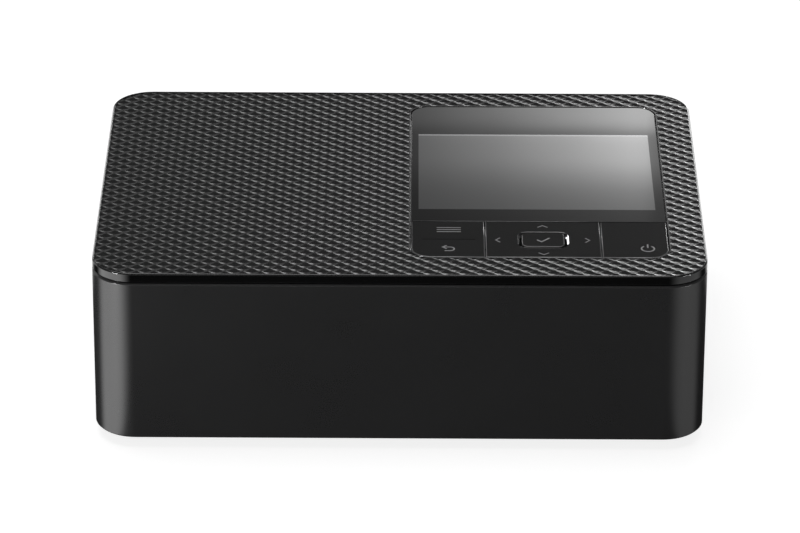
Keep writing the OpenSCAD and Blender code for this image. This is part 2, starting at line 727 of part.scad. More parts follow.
module key_menu() {
  color("#27272a") {
    difference() {
      inlay(pan_x0, div1 - key_gap / 2, pan_y0, row_y - key_gap / 2, z_key0, z_key1);
      box(pan_x0 + 3.6, div1 - 2.9, nav_y + 0.05, nav_y + 0.35, z_key1 - 0.25, z_key1 + 1);
    }
    for (x = [pan_x0 + 2.1, div1 - bar_w / 2 - 1.5]) {
      box(x, x + 1.2, nav_y - 1, nav_y + 1, z_axis, z_key0 + e);
      rod(x, x + 1.2, nav_y, z_axis, 1);
    }
    rod(pan_x0 + 0.6, pan_x0 + 2.2, nav_y, z_axis, key_pin_r);
    rod(div1 - bar_w / 2 - 0.4, div1 - 0.1, nav_y, z_axis, key_pin_r);
    for (d = [domes[0], domes[1]])
      rod_z(z_act, z_key0 + e, d[0], d[1], 1);
  }
}

// Frame that lets the direction key tilt both ways
module nav_pivot() {
  color("#4a4b4f") {
    difference() {
      box(nav_x - nav_hw, nav_x + nav_hw, nav_y - nav_hd, nav_y + nav_hd, z_axis - 0.7, z_axis + 0.7);
      box(nav_x - nav_hw + 1.4, nav_x + nav_hw - 1.4, nav_y - nav_hd + 1.4, nav_y + nav_hd - 1.4, z_axis - 2, z_axis + 2);
    }
    for (s = [-1, 1]) {
      translate([nav_x, nav_y + s * (nav_hd + 0.9), z_axis])
        rotate([90, 0, 0])
          cylinder(r = nav_pin_r, h = 2, center = true);
      translate([nav_x + s * (nav_hw + 0.8), nav_y, z_axis])
        rotate([0, 90, 0])
          cylinder(r = nav_pin_r, h = 1.8, center = true);
    }
  }
}

module key_nav() {
  color("#27272a")
    difference() {
      union() {
        inlay(div1 + key_gap / 2, div2 - key_gap / 2, pan_y0, row_y - key_gap / 2, z_key0, z_key1);
        for (s = [-1, 1])
          translate([nav_x + s * (nav_hw + 0.95) - 0.6, 0, 0]) {
            box(0, 1.2, nav_y - 1.2, nav_y + 1.2, z_axis, z_key0 + e);
            rod(0, 1.2, nav_y, z_axis, 1.2);
          }
        for (i = [2:5])
          rod_z(z_act, z_key0 + e, domes[i][0], domes[i][1], 1);
      }
      // Well with a sloping wall
      hull() {
        block(well_w, well_d, 3, z_key1, z_key1 + 0.5, nav_x, nav_y, $fn = 32);
        block(ok_w + 0.9, ok_d + 0.7, 2.2, z_key0 - 0.5, z_key0 + 0.2, nav_x, nav_y, $fn = 32);
      }
      rod(nav_x - nav_hw - 3, nav_x + nav_hw + 3, nav_y, z_axis, nav_pin_r + run);
    }
}

module key_ok() {
  color("#303033") {
    block(ok_w, ok_d, 1.8, z_key0 - 0.4, z_key1 + ok_rise, nav_x, nav_y);
    rod_z(z_act, z_key0, nav_x, nav_y, ok_stem_r);
  }
}

module key_power() {
  ay = row_y - 2.5;
  color("#27272a") {
    inlay(div2 + key_gap / 2, pan_x1, pan_y0, row_y - key_gap / 2, z_key0, z_key1);
    for (x = [div2 + bar_w / 2 + 0.3, pan_x1 - 3.3]) {
      box(x, x + 1.2, ay - 1, ay + 1, z_axis, z_key0 + e);
      rod(x, x + 1.2, ay, z_axis, 1);
    }
    rod(div2 + 0.1, div2 + bar_w / 2 + 0.4, ay, z_axis, key_pin_r);
    rod(pan_x1 - 2.2, pan_x1 - 0.6, ay, z_axis, key_pin_r);
    rod_z(z_act, z_key0 + e, domes[7][0], domes[7][1], 1);
  }
}

// ---- Boards, feet and screws ----

module main_board() {
  color("#1f5a38") {
    box(mb_x0, mb_x1, mb_y0, mb_y1, mb_z1 - board_t, mb_z1);
    box(mb_x1 - 44, mb_x1 - 30, mb_y0 + 14, mb_y0 + 28, mb_z1 - e, mb_z1 + 1.4);
    box(mb_x1 - 24, mb_x1 - 12, mb_y0 + 16, mb_y0 + 28, mb_z1 - e, mb_z1 + 1.2);
  }
}

module rubber_feet() {
  color("#141414")
    for (p = feet)
      rod_z(0, z_low + foot_pocket, p[0], p[1], foot_r);
}

module case_screws() {
  color("#8a8c90")
    for (p = posts) {
      rod_z(z_floor - 1.6, z_floor, p[0], p[1], 2.6);
      rod_z(z_floor - e, z_floor + 8, p[0], p[1], 1.2);
    }
}

// ---- Paper slot ----

module front_frame() {
  color("#232326")
    difference() {
      union() {
        box(-sill_x, sill_x, frame_y, frame_y + frame_t, sill_z1, z_band - 2.2);
        for (s = [-1, 1])
          box(s * (slot_w / 2 + 2) - 2, s * (slot_w / 2 + 2) + 2, flap_y - 1.9, flap_y + 1.9, flap_z - 2, slot_z1 + 1.4);
      }
      box(-slot_w / 2, slot_w / 2, frame_y - 2, frame_y + frame_t + 2, slot_z0, slot_z1);
      rod(-slot_w / 2 - 2.2, slot_w / 2 + 2.2, flap_y, flap_z, flap_pin_r + run);
      for (s = [-1, 1])
        rod(s * lug_x - 2.2, s * lug_x + 2.2, hin_y, hin_z, 3.2);
    }
}

module inner_flap() {
  w = slot_w / 2 - 0.4;
  color("#2b2b2e") {
    box(-w, w, flap_y - flap_t / 2, flap_y + flap_t / 2, slot_z0 + 0.3, flap_z);
    rod(-w, w, flap_y, flap_z, flap_t / 2);
    rod(-w - 2, w + 2, flap_y, flap_z, min(flap_pin_r, flap_t / 2 + 0.2));
    for (k = [-3, -1, 1, 3], x = k * slot_w / 9.5)
      box(x - 0.5, x + 0.5, flap_y + flap_t / 2 - e, flap_y + flap_t / 2 + 0.5, slot_z0 + 3, flap_z - 3);
  }
}

// Channel that takes the paper cassette
module cassette_tray() {
  w = slot_w / 2 + 0.4;
  color("#2a2b2d") {
    box(-w - tray_t, w + tray_t, tray_y0, tray_y1, sill_z1, deck_z);
    for (s = [-1, 1]) {
      box(s * (w + tray_t / 2) - tray_t / 2, s * (w + tray_t / 2) + tray_t / 2, tray_y0, tray_y1, deck_z - e, deck_z + tray_h);
      box(s * (w + tray_t / 2) - tray_t / 2, s * (w + tray_t / 2) + tray_t / 2, step_y + 2.2, tray_y1, z_floor, sill_z1 + e);
    }
  }
}

// ---- Mechanism ----

module plate_outline() {
  polygon([[plate_y0, z_floor], [plate_y1, z_floor], [plate_y1, plate_top], [hsh_y - 6, plate_top],
    [hsh_y - 10, plate_top - 3.4], [plate_y0 + 8, plate_top - 3.4], [plate_y0, pickup_z + 8]]);
}

module side_plate(x0) {
  translate([x0, 0, 0])
    rotate([90, 0, 90])
      linear_extrude(side_t)
        plate_outline();
}

// Bores that every shaft runs in
module shaft_bores(x0, x1) {
  rod(x0, x1, platen_y, platen_z, platen_shaft_r + run);
  rod(x0, x1, feed_y, feed_z, feed_shaft_r + run);
  rod(x0, x1, feed_y, pinch_z, pinch_shaft_r + run);
  rod(x0, x1, pickup_y, pickup_z, pickup_shaft_r + run);
  rod(x0, x1, hsh_y, hsh_z, hsh_r + run);
}

module left_plate() {
  color("#9a9da1") {
    difference() {
      side_plate(-plate_x - side_t);
      shaft_bores(-plate_x - side_t - 1, -plate_x + 1);
      rod(-plate_x - side_t - 1, -plate_x + 1, takeup_y, platen_z - 4, 3.5);
    }
    // Stub axle of the idler and the two spool spindles
    rod(gear_x0 - 0.5, -plate_x - side_t + e, idle_y, idle_z, 2);
    for (y = [supply_y, takeup_y])
      rod(-plate_x - e, -cassette_l + 6, y, spool_z, spindle_r);
  }
}

module right_plate() {
  color("#9a9da1")
    difference() {
      side_plate(plate_x);
      shaft_bores(plate_x - 1, plate_x + side_t + 1);
      box(plate_x - 1, plate_x + side_t + 1, supply_y - tub_r - 0.4, takeup_y + tub_r + 0.4,
        spool_z - tub_r - 0.4, spool_z + tub_r + 0.4);
      box(plate_x - 1, plate_x + side_t + 1, supply_y + 2, takeup_y - 2, nip_z, spool_z - 4);
      rod(plate_x - 1, plate_x + side_t + 1, supply_y - tub_r - 4, spool_z - 6, 1.25);
    }
}

// Guide from the feed roller, round below the platen, to the rear slot
module paper_guide() {
  t = 1.2;
  y0 = feed_y + fd_r + 1.2;
  y1 = platen_y - plat_r - 1.4;
  y2 = platen_y + plat_r + 1.4;
  zt = nip_z - 0.3;
  zb = platen_z - plat_r - 1.4;
  color("#2f3033")
    along_x(-plate_x, plate_x, [[y0, zt], [y0, zt - t], [y1 - t, zt - t], [y1 - t, zb - t], [y2 + t, zb - t],
      [y2 + t, zt - t], [by - wall_t - 0.5, zt - t], [by - wall_t - 0.5, zt], [y2, zt], [y2, zb], [y1, zb], [y1, zt]]);
}

module motor_bracket() {
  color("#9a9da1")
    difference() {
      union() {
        box(bracket_x1 - bracket_t, bracket_x1, motor_y - 16, motor_y + 16, idle_z, motor_z + mot_r - 0.5);
        for (p = [[motor_y - 13.5, motor_z + 7], [motor_y + 13.5, motor_z + 7], [motor_y - 14, idle_z + 7]])
          rod(bracket_x1 - e, -plate_x - side_t, p[0], p[1], 1.8);
      }
      rod(bracket_x1 - 3, bracket_x1 + 1, motor_y, motor_z, 3);
      rod(bracket_x1 - 3, bracket_x1 + 1, idle_y, idle_z, 2.3);
    }
}

module drive_motor() {
  x1 = bracket_x1 - bracket_t;
  color("#b4b6ba")
    difference() {
      union() {
        rod(x1 - motor_l, x1, motor_y, motor_z, mot_r);
        rod(x1 - e, x1 + 1, motor_y, motor_z, 2.9);
      }
      rod(x1 - 4, x1 + 2, motor_y, motor_z, 1 + run);
    }
}

module motor_pinion() {
  color("#c9a24a") {
    gear(pinion_teeth, ph_motor, motor_y, motor_z, 1);
    rod(bracket_x1 - bracket_t - 3.5, gear_x1 + 0.3, motor_y, motor_z, 1);
  }
}

module idler_gear() {
  color("#e6e3d8")
    gear(gear_teeth, ph_idler, idle_y, idle_z, 2 + run);
}

module platen_shaft() {
  color("#b8babd")
    rod(gear_x0 - 0.5, plate_x + side_t + 1.5, platen_y, platen_z, platen_shaft_r);
}

module platen_rubber() {
  color("#3a3b3d")
    difference() {
      rod(-platen_l, platen_l, platen_y, platen_z, plat_r);
      rod(-platen_l - 1, platen_l + 1, platen_y, platen_z, platen_shaft_r);
    }
}

module platen_gear() {
  color("#e6e3d8")
    gear(gear_teeth, ph_platen, platen_y, platen_z, platen_shaft_r);
}

module feed_roller() {
  color("#b8babd") {
    rod(gear_x0 - 0.5, plate_x + side_t + 1.5, feed_y, feed_z, feed_shaft_r);
    rod(-platen_l + 2, platen_l - 2, feed_y, feed_z, fd_r);
  }
}

module feed_gear() {
  color("#e6e3d8")
    gear(gear_teeth, ph_feed, feed_y, feed_z, feed_shaft_r);
}

module pinch_roller() {
  color("#55575a") {
    rod(-plate_x - side_t - 0.8, plate_x + side_t + 1.5, feed_y, pinch_z, pinch_shaft_r);
    rod(-platen_l + 2, platen_l - 2, feed_y, pinch_z, pnch_r);
  }
}

module pickup_roller() {
  color("#55575a") {
    rod(gear_x0 - 0.5, plate_x + side_t + 1.5, pickup_y, pickup_z, pickup_shaft_r);
    rod(-pickup_l, pickup_l, pickup_y, pickup_z, pick_r);
  }
}

module pickup_gear() {
  color("#e6e3d8")
    gear(pickup_teeth, ph_pickup, pickup_y, pickup_z, pickup_shaft_r);
}

module head_shaft() {
  color("#b8babd")
    rod(-plate_x - side_t - 1.5, plate_x + side_t + 1.5, hsh_y, hsh_z, hsh_r);
}

module head_arms() {
  color("#9a9da1")
    for (s = [-1, 1])
      translate([s * (platen_l - 2) - 2, 0, 0])
        difference() {
          union() {
            box(0, 4, platen_y - 4, hsh_y, arm_z0, arm_z1);
            rod(0, 4, hsh_y, hsh_z, 3.4);
          }
          rod(-1, 5, hsh_y, hsh_z, hsh_r + run);
        }
}

module heat_sink() {
  fins = 20;
  d = head_d / 2 - 0.7;
  pitch = (2 * platen_l - 1.4) / fins;
  color("#a9acb0") {
    box(-platen_l, platen_l, platen_y - d, platen_y + d, head_z1, head_z1 + 2);
    for (i = [0:fins])
      box(-platen_l + i * pitch, -platen_l + 1.4 + i * pitch, platen_y - d, platen_y + d, head_z1 + 2 - e, sink_z1);
  }
}

module thermal_head() {
  d = head_d / 2;
  f = d - 1.9;
  color("#d9d4c6")
    along_x(-platen_l, platen_l, [[platen_y - f, head_z0], [platen_y + f, head_z0], [platen_y + d, head_z0 + 3],
      [platen_y + d, head_z1], [platen_y - d, head_z1], [platen_y - d, head_z0 + 3]]);
}

// ---- Ink cassette ----

// The two tubes, each with a mouth that the ribbon leaves by
module ink_cassette() {
  l = cassette_l;
  color("#45474b")
    for (k = [[supply_y, 1], [takeup_y, -1]])
      difference() {
        rod(-l, l - 0.4, k[0], spool_z, tub_r);
        rod(-l - 1, l, k[0], spool_z, tub_r - tube_t);
        translate([0, k[0] + k[1] * (tub_r / 2 + 1), spool_z - tub_r / 2 - 2.5])
          cube([2 * platen_l - 2, tub_r, tub_r - 3], center = true);
      }
}

// End pieces that join the tubes, with the grip at the right
module ink_frame() {
  l = cassette_l;
  color("#3c3e42")
    difference() {
      union() {
        for (x = [[-l - 2, -l], [l - 0.4, l + 2]], y = [supply_y, takeup_y])
          rod(x[0], x[1], y, spool_z, tub_r);
        box(l - 0.4, l + 2, supply_y, takeup_y, spool_z - tub_r + 0.4, spool_z + 4);
        box(-l - 2, -l, supply_y, takeup_y, spool_z - tub_r + 0.4, spool_z - 4);
        box(l + 2 - e, l + 2 + grip_l, platen_y - 9, platen_y + 9, spool_z - 2, spool_z + 2);
        box(l + grip_l, l + 2 + grip_l, platen_y - 9, platen_y + 9, spool_z - 6, spool_z + 6);
      }
      for (y = [supply_y, takeup_y]) {
        rod(-l - 3, -l + 1, y, spool_z, tub_r - tube_t);
        rod(l - 1, l + 1.6, y, spool_z, 1.5 + run);
      }
    }
}

module spool(y, wound_r, tone) {
  l = cassette_l;
  color(tone)
    difference() {
      union() {
        rod(-l + 0.5, l - 0.9, y, spool_z, 3.5);
        rod(-platen_l + 1, platen_l - 1, y, spool_z, wound_r);
        for (s = [-1, 1])
          rod(s * (platen_l + 1) - 1, s * (platen_l + 1) + 1, y, spool_z, tub_r - tube_t - 0.5);
        rod(l - 1, l + 1.3, y, spool_z, 1.5);
      }
      rod(-l - 1, -l + 8, y, spool_z, spindle_r + 0.3);
    }
}

module supply_spool() {
  spool(supply_y, supply_wr, "#6a5a2a");
}

module takeup_spool() {
  spool(takeup_y, takeup_wr, "#3a4a6a");
}

// Film from spool to spool, under the head
module ink_ribbon() {
  t = 0.15;
  z = nip_z + 0.25;
  a = spool_z - supply_wr - 0.3;
  b = spool_z - takeup_wr - 0.3;
  color("#7a6a2c")
    along_x(-platen_l + 2, platen_l - 2, [[supply_y + 1.5, a], [supply_y + 1.5, a - t], [platen_y - 7, z], [platen_y + 7, z],
      [takeup_y - 1.5, b - t], [takeup_y - 1.5, b], [platen_y + 6.9, z + t], [platen_y - 6.9, z + t]]);
}

// Latch lever beside the ink cassette
module eject_lever() {
  x0 = plate_x + side_t + 0.3;
  y = supply_y - tub_r - 4;
  z = spool_z - 6;
  color("#b03a2e") {
    rod(plate_x - 0.6, x0 + 2, y, z, 1.2);
    rod(x0, x0 + 2, y, z, 2.6);
    box(x0, x0 + 2, y - 2, y + 2, z, z + 13);
    box(x0, x0 + 9, y - 2, y + 2, z + 11, z + 13);
  }
}

// ---- Moving covers ----

module front_cover() {
  color("#1e1e20") {
    difference() {
      slab(body_w, body_d, corner_r, z_low, z_seam, edge_c, edge_c);
      block(body_w - 2 * wall_t, body_d - 2 * wall_t, corner_r - wall_t, z_low - 1, z_seam + 1);
      box(-hx - 1, hx + 1, wing_y, by + 1, z_low - 1, z_seam + 1);
      difference() {
        box(-hx - 1, hx + 1, hin_y, wing_y + 1, z_low - 1, hin_z);
        rod(-hx - 2, hx + 2, hin_y, hin_z, wing_r);
      }
    }
    box(-lug_x + 4, lug_x - 4, fy + wall_t - e, hin_y - 1, z_low, z_low + lip_t);
    for (s = [-1, 1]) {
      translate([s * (lug_x + 3.3), 0, 0]) {
        box(-1.2, 1.2, fy + wall_t - 0.2, hin_y, hin_z - cover_pin_r - 0.35, hin_z + cover_pin_r + 0.35);
        rod(-1.2, 1.2, hin_y, hin_z, cover_pin_r + 0.35);
      }
      rod(s * (lug_x + 0.6) - 2.6, s * (lug_x + 0.6) + 2.6, hin_y, hin_z, cover_pin_r);
    }
    // Stiffening ribs inside
    for (z = [hin_z + 10, z_seam - 6])
      box(-hx + corner_r, hx - corner_r, fy + wall_t - e, fy + wall_t + 0.8, z, z + 1);
  }
}

module ink_door() {
  color("#1e1e20")
    difference() {
      union() {
        box(hx - wall_t, hx, door_front, door_ay, door_low, door_high);
        rod_z(door_low, door_high, door_ax, door_ay, wall_t / 2);
        rod_z(door_low - 2, door_high + 2, door_ax, door_ay, door_pin_r);
        for (z = [door_low + 8, (door_low + door_high) / 2, door_high - 8])
          box(hx - wall_t - 0.8, hx - wall_t + e, door_front + 4, door_ay - 4, z - 0.5, z + 0.5);
      }
    }
}

module rear_flap() {
  w = exit_w / 2;
  t = 1.2;
  z = exit_z1 + 0.4;
  color("#232326") {
    box(-w, w, by - wall_t / 2 - t / 2, by - wall_t / 2 + t / 2, exit_z0 + 0.3, z);
    rod(-w, w, by - wall_t / 2, z, t / 2);
    rod(-w - 2, w + 2, by - wall_t / 2, z, 0.6);
  }
}

// ---- Ports ----

module io_board() {
  color("#1f5a38")
    box(io_x0, hx - wall_t - 0.4, io_y0, io_y1, io_z, io_z + board_t);
}

module card_slot() {
  z = io_z + board_t;
  color("#a3a6aa")
    difference() {
      box(io_x0 + 1.5, hx - wall_t - 0.2, card_y - card_w / 2 - 0.6, card_y + card_w / 2 + 0.6, z, z + card_h + 1.6);
      box(io_x0 + 4, hx, card_y - card_w / 2, card_y + card_w / 2, z + 0.6, z + 0.6 + card_h - 0.1);
    }
}

module usb_port() {
  color("#b9bcc0") {
    difference() {
      box(hx - 20, hx - wall_t + 1, card_y - 6.3, card_y + 6.3, io_z - 6.2, io_z - 1);
      box(hx - 17, hx, card_y - 5.9, card_y + 5.9, io_z - 5.8, io_z - 1.4);
    }
    box(hx - 20, hx - wall_t - 0.4, card_y - 6.3, card_y + 6.3, io_z - 1 - e, io_z);
    box(hx - 17 - e, hx - wall_t, card_y - 5.2, card_y + 5.2, io_z - 3.6, io_z - 1.8);
  }
}

module data_port() {
  y1 = by - 0.5;
  color("#b9bcc0") {
    difference() {
      translate([usbc_x, y1 - 8, usbc_z])
        rotate([-90, 0, 0])
          linear_extrude(8)
            plan(8.9, 3.2, 1.55);
      translate([usbc_x, y1 - 7, usbc_z])
        rotate([-90, 0, 0])
          linear_extrude(8)
            plan(8.3, 2.6, 1.25);
    }
    box(usbc_x - 3.3, usbc_x + 3.3, y1 - 7 - e, y1 - 1, usbc_z - 0.35, usbc_z + 0.35);
  }
}

module power_inlet() {
  color("#151517") {
    difference() {
      union() {
        box(jack_x - 5, jack_x + 5, by - wall_t - 12, by - wall_t, jack_z - 5, jack_z + 5);
        rod_y(by - wall_t - e, by - 0.4, jack_x, jack_z, jack_r);
      }
      rod_y(by - 10, by + 1, jack_x, jack_z, 2.8);
    }
    rod_y(by - 10 - e, by - 1.2, jack_x, jack_z, 0.9);
  }
}

bottom_case();
outer_shell();
top_cover();
textured_panel();
lcd_window();
lcd_module();
key_frame();
keypad_mat();
key_board();
main_board();
rubber_feet();
case_screws();
front_frame();
cassette_tray();
left_plate();
right_plate();
paper_guide();
motor_bracket();
drive_motor();
io_board();
card_slot();
usb_port();
data_port();
power_inlet();
head_shaft();
front_cover();
inner_flap();
ink_door();
rear_flap();
ink_cassette();
ink_frame();
supply_spool();
takeup_spool();
ink_ribbon();
eject_lever();
thermal_head();
heat_sink();
head_arms();
platen_shaft();
platen_rubber();
platen_gear();
feed_roller();
feed_gear();
pinch_roller();
pickup_roller();
pickup_gear();
idler_gear();
motor_pinion();
key_menu();
nav_pivot();
key_nav();
key_ok();
key_power();
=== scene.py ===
"""Looks of the compact photo printer: satin body, glossy band, ridged top, display window and keys.

Sizes are written in millimetres in the frame of the solids (X right, Y back, Z up) and turned
into metres by mm(). Each piece has its own function or its own row in a plan, and each finish
has its own row in FINISH.
"""
import math

import bmesh
import bpy
from mathutils import Matrix, Vector


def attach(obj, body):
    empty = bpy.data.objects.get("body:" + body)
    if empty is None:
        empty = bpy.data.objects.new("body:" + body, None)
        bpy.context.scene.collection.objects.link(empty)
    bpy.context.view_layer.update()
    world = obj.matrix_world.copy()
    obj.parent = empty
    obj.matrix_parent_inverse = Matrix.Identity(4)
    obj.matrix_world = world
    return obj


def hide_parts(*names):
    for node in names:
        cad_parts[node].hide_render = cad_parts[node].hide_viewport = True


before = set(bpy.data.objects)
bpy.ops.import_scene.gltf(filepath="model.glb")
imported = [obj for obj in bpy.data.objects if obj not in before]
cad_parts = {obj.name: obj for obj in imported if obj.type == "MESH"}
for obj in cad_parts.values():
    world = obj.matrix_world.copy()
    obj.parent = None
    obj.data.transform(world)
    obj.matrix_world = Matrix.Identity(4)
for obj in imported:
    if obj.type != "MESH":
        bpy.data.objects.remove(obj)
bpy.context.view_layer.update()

# ---- Sizes, in millimetres -------------------------------------------------

# Body, the rim of its top, and the gap inside the rim
BODY_W, BODY_D = 182.2, 133.0
CORNER_R = 12.5
RIM_W, RIM_GAP = 0.6, 0.05
RIM_STEPS = 24

# Opening of the top for the window and the keys
OPENING_X0, OPENING_X1 = 3.1, 80.2
OPENING_Y0, OPENING_Y1 = -53.6, 55.9
OPENING_R = 6.0
OPENING_STEPS = 16

# The ridges cross at the corners of diamonds of this pitch, and one diamond's middle is the pit
RIDGE_PITCH_X, RIDGE_PITCH_Y = 5.22, 4.264
RIDGE_DEPTH = 0.24
RIDGE_TOP, RIDGE_BASE = 57.5, 56.8
PIT_X, PIT_Y = -80.0, -64.4
# A bowl lies in each diamond: powers of its wall and its corners, points along a side, and how
# many lie along X and Y
BOWL_HOLLOW, BOWL_KNOT = 1.6, 4.0
BOWL_POINTS = 7
BOWL_COLUMNS, BOWL_ROWS = 37, 33
# Farthest that the corners of neighbouring bowls lie apart before they are joined
BOWL_JOIN = 0.02
# What a cutting tool has to spare past the ridges
CUT_SPARE = 1.0

# Lip round the opening: its section runs out from the opening and up
LIP_W, LIP_TOP = 0.45, 57.56
LIP_SECTION = (
    (0.0, RIDGE_BASE), (0.0, LIP_TOP - 0.12), (0.04, LIP_TOP - 0.03), (0.12, LIP_TOP),
    (LIP_W - 0.16, LIP_TOP), (LIP_W - 0.04, LIP_TOP - 0.05), (LIP_W, LIP_TOP - 0.2), (LIP_W, RIDGE_BASE))

# Part of the display that shows, how soft its edge is, and the painted highlight along its rear edge
SCREEN_X0, SCREEN_X1 = 5.5, 77.2
SCREEN_Y0, SCREEN_Y1 = -20.3, 34.7
SCREEN_SOFT = 0.15
REAR_HIGHLIGHT_W, REAR_HIGHLIGHT_SOFT = 1.2, 0.3

# Tops of the window and the outer keys, and of the confirm key, and the round edge of the outer keys
KEY_TOP, CONFIRM_TOP = 57.4, 57.5
KEY_ROUND = 0.26

# Four-way key: its middle, how far its well reaches from there, how low it goes, and how level a
# face is that still belongs to it
RING_X, RING_Y = 42.7, -41.5
WELL_X, WELL_Y = 8.0, 6.0
WELL_LOW, WELL_LEVEL = 55.85, 0.93
# Rings of the well's gloss wall, each as width, depth, corner and height
WELL_RINGS = ((15.3, 10.7, 2.95, 56.3), (15.3, 10.7, 2.95, 57.36), (15.1, 10.6, 2.9, 57.38),
              (13.0, 9.75, 2.1, 56.62), (13.0, 9.75, 2.1, 56.3))
WELL_STEPS = 10

# Signs on the keys: height over the key, the share of it that they are thick, and their lines' widths
SIGN_LIFT, SIGN_SINK = 0.02, 0.9
BAR_LINE, ARROW_LINE, CHECK_LINE, POWER_LINE = 0.38, 0.42, 0.5, 0.45
BAR_X0, BAR_X1 = 11.0, 18.2
BAR_ROWS = (-33.3, -34.7, -36.1)
BACK_TIP, BACK_END = (12.7, -46.7), (13.3, -49.2)
BACK_BEND, BACK_BEND_R = (14.9, -47.95), 1.25
BACK_HEAD = ((13.9, -45.55), (12.65, -46.7), (13.9, -47.85))
# Each chevron's place and its turn in degrees
CHEVRONS = ((RING_X, -32.2, 0), (29.2, -41.7, 90), (55.9, -41.7, -90), (RING_X, -51.0, 180))
CHEVRON_HALF, CHEVRON_SLOPE = 1.5, 0.42
CHECK = ((40.9, -41.7), (42.2, -43.0), (44.6, -40.4))
POWER_MIDDLE, POWER_R = (73.7, -47.2), 1.9
POWER_START, POWER_END = 125, 415
BEND_STEPS, POWER_STEPS = 10, 28
POWER_BAR = ((73.7, -46.6), (73.7, -44.3))
# Shortest that a mitre counts as, so that a sharp corner stays short
MITRE_LEAST = 0.35

# ---- Edges and shading -----------------------------------------------------

# Vertices nearer than this are one, in millimetres, and faces flatter than this are one, in degrees
SAME_POINT, SAME_FACE = 0.002, 0.6
# Edges sharper than the first are rounded, and past the next two the shading of plain and of
# rounded pieces breaks, in degrees
ROUNDED_FROM = 38
PLAIN_SHARP, ROUNDED_SHARP = 35, 50
# Upward part of a face's normal: of a flat top left unsmoothed, of any top, and most of a wall
FLAT_TOP, ANY_TOP, WALL_MOST = 0.99999, 0.99, 0.3
# How near an edge lies to a named height, and how high a wall is below it, in millimetres
HEIGHT_NEAR, WALL_LEAST = 0.02, 0.6

# ---- Finish values ---------------------------------------------------------

PLASTIC_IOR, DISPLAY_IOR = 1.5, 1.8
COAT_ROUGH = 0.03
# Depth of the grain in millimetres, and how much paler a smudge is than its surface
GRAIN_RELIEF = 0.02
SMUDGE_TINT, SMUDGE_LIFT = 0.12, 0.002
# Level of the noise from which smudges show, and how steeply they come in
SMUDGE_FROM, SMUDGE_STEEP = 0.45, 3.0
# Window: its border, the display's field in it, the painted highlight along the field's rear edge, roughness
# and smudges
BORDER_COLOUR = (0.004, 0.004, 0.0042, 1)
FIELD_COLOUR = (0.034, 0.035, 0.036, 1)
REAR_HIGHLIGHT_COLOUR = (0.30, 0.30, 0.305, 1)
WINDOW_ROUGH, WINDOW_SMUDGE = 0.02, 0.012

# ---- Camera, floor and light values ----------------------------------------

# Camera: turn, tilt and roll in radians, place in millimetres, and the lens as a focal length in
# pixels of a picture of this width
CAMERA_TURN, CAMERA_TILT, CAMERA_ROLL = -0.00137771, 0.45208953, 0.00437683
CAMERA_PLACE = (1.8187, -1318.110, 668.321)
FOCAL_PIXELS, PICTURE_WIDTH = 4746.68, 800
SENSOR_W = 36
# Nearest and farthest that the camera sees, and half the floor's width, in metres
CAMERA_NEAR, CAMERA_FAR = 0.05, 20
FLOOR_HALF = 6

WHITE = (1, 1, 1, 1)
# How bright the floor is by itself, and its tone under the lamps
FLOOR_GLOW, FLOOR_TONE = 0.80, 0.40
# In reflections the floor is dark ahead of the printer: by how much, and where along Y it ends, in metres
FLOOR_DARK = 0.985
FLOOR_DARK_END = (0.02, 0.08)
# Beside each front corner it stays white: side and share of white, the middle of the corner's round
# in metres, and the angles round it over which the white grows and fades, in degrees
CORNER_SIDES = ((-1, 1.0), (1, 0.26))
CORNER_X, CORNER_Y = 0.085, -0.063
CORNER_GROWS, CORNER_FADES = (-30.0, 0.0), (48.0, 86.0)

# Light behind the right. Its strength goes by the angle to the right of straight back, and is cut
# off by height, both in degrees: over the foot it grows, and over the lid it fades
LOBE_SWEEP = (
    (-12.0, 0.42), (-9.0, 0.42), (-3.5, 0.10), (-1.8, 0.10), (-0.6, 0.20), (0.3, 0.60), (1.2, 1.22),
    (2.2, 2.26), (3.1, 3.5), (3.18, 3.4), (3.38, 2.4), (8.0, 1.6), (9.8, 14.0), (14.0, 14.0),
    (16.5, 0.45), (27.0, 0.45), (36.0, 0.0))
LOBE_LEVEL = 14.0
LOBE_FOOT = (9.0, 14.0)
LOBE_LID = (
    (24.10, 1.0), (24.18, 0.85), (24.28, 0.43), (24.62, 0.40), (24.80, 0.27), (24.98, 0.165),
    (25.16, 0.115), (25.27, 0.11), (25.80, 0.03), (26.30, 0.0))
# Smaller light behind the left: where it grows and fades by angle and by height, and its strength
CARD_GROWS, CARD_FADES = (-30.0, -27.0), (-21.0, -18.0)
CARD_FOOT, CARD_LID = (4.0, 6.0), (14.0, 17.0)
CARD_LEVEL = 5.0
# Strength of the rest of the sky, and the heights over which its white mirror image ends
AMBIENT = 0.10
HORIZON = (1.0, 6.0)

# Lamps: place and aim in metres, size in metres, and power in watts
LAMPS = (
    ("overhead softbox", (-0.2, 0.25, 1.6), (0, 0, 0), (1.2, 1.2), 14),
    ("left strip", (-1.05, -0.93, 0.09), (-0.08, -0.06, 0.03), (0.40, 0.16), 30),
    ("right strip", (1.16, -0.78, 0.09), (0.09, -0.06, 0.03), (0.45, 0.16), 7),
)


def mm(*values):
    """Millimetres to metres."""
    scaled = tuple(v / 1000.0 for v in values)
    return scaled[0] if len(scaled) == 1 else Vector(scaled)


# ---- Small helpers ---------------------------------------------------------

def new_object(name, mesh, *materials):
    """Object at the origin, with its place in its mesh."""
    piece = bpy.data.objects.new(name, mesh)
    bpy.context.scene.collection.objects.link(piece)
    for material in materials:
        mesh.materials.append(material)
    return piece


def seat(piece, body, slot, *nodes):
    """Rides the piece on its body and replaces the nodes that it stands for. The slot is not used."""
    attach(piece, body)
    if nodes:
        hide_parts(*nodes)
    return piece


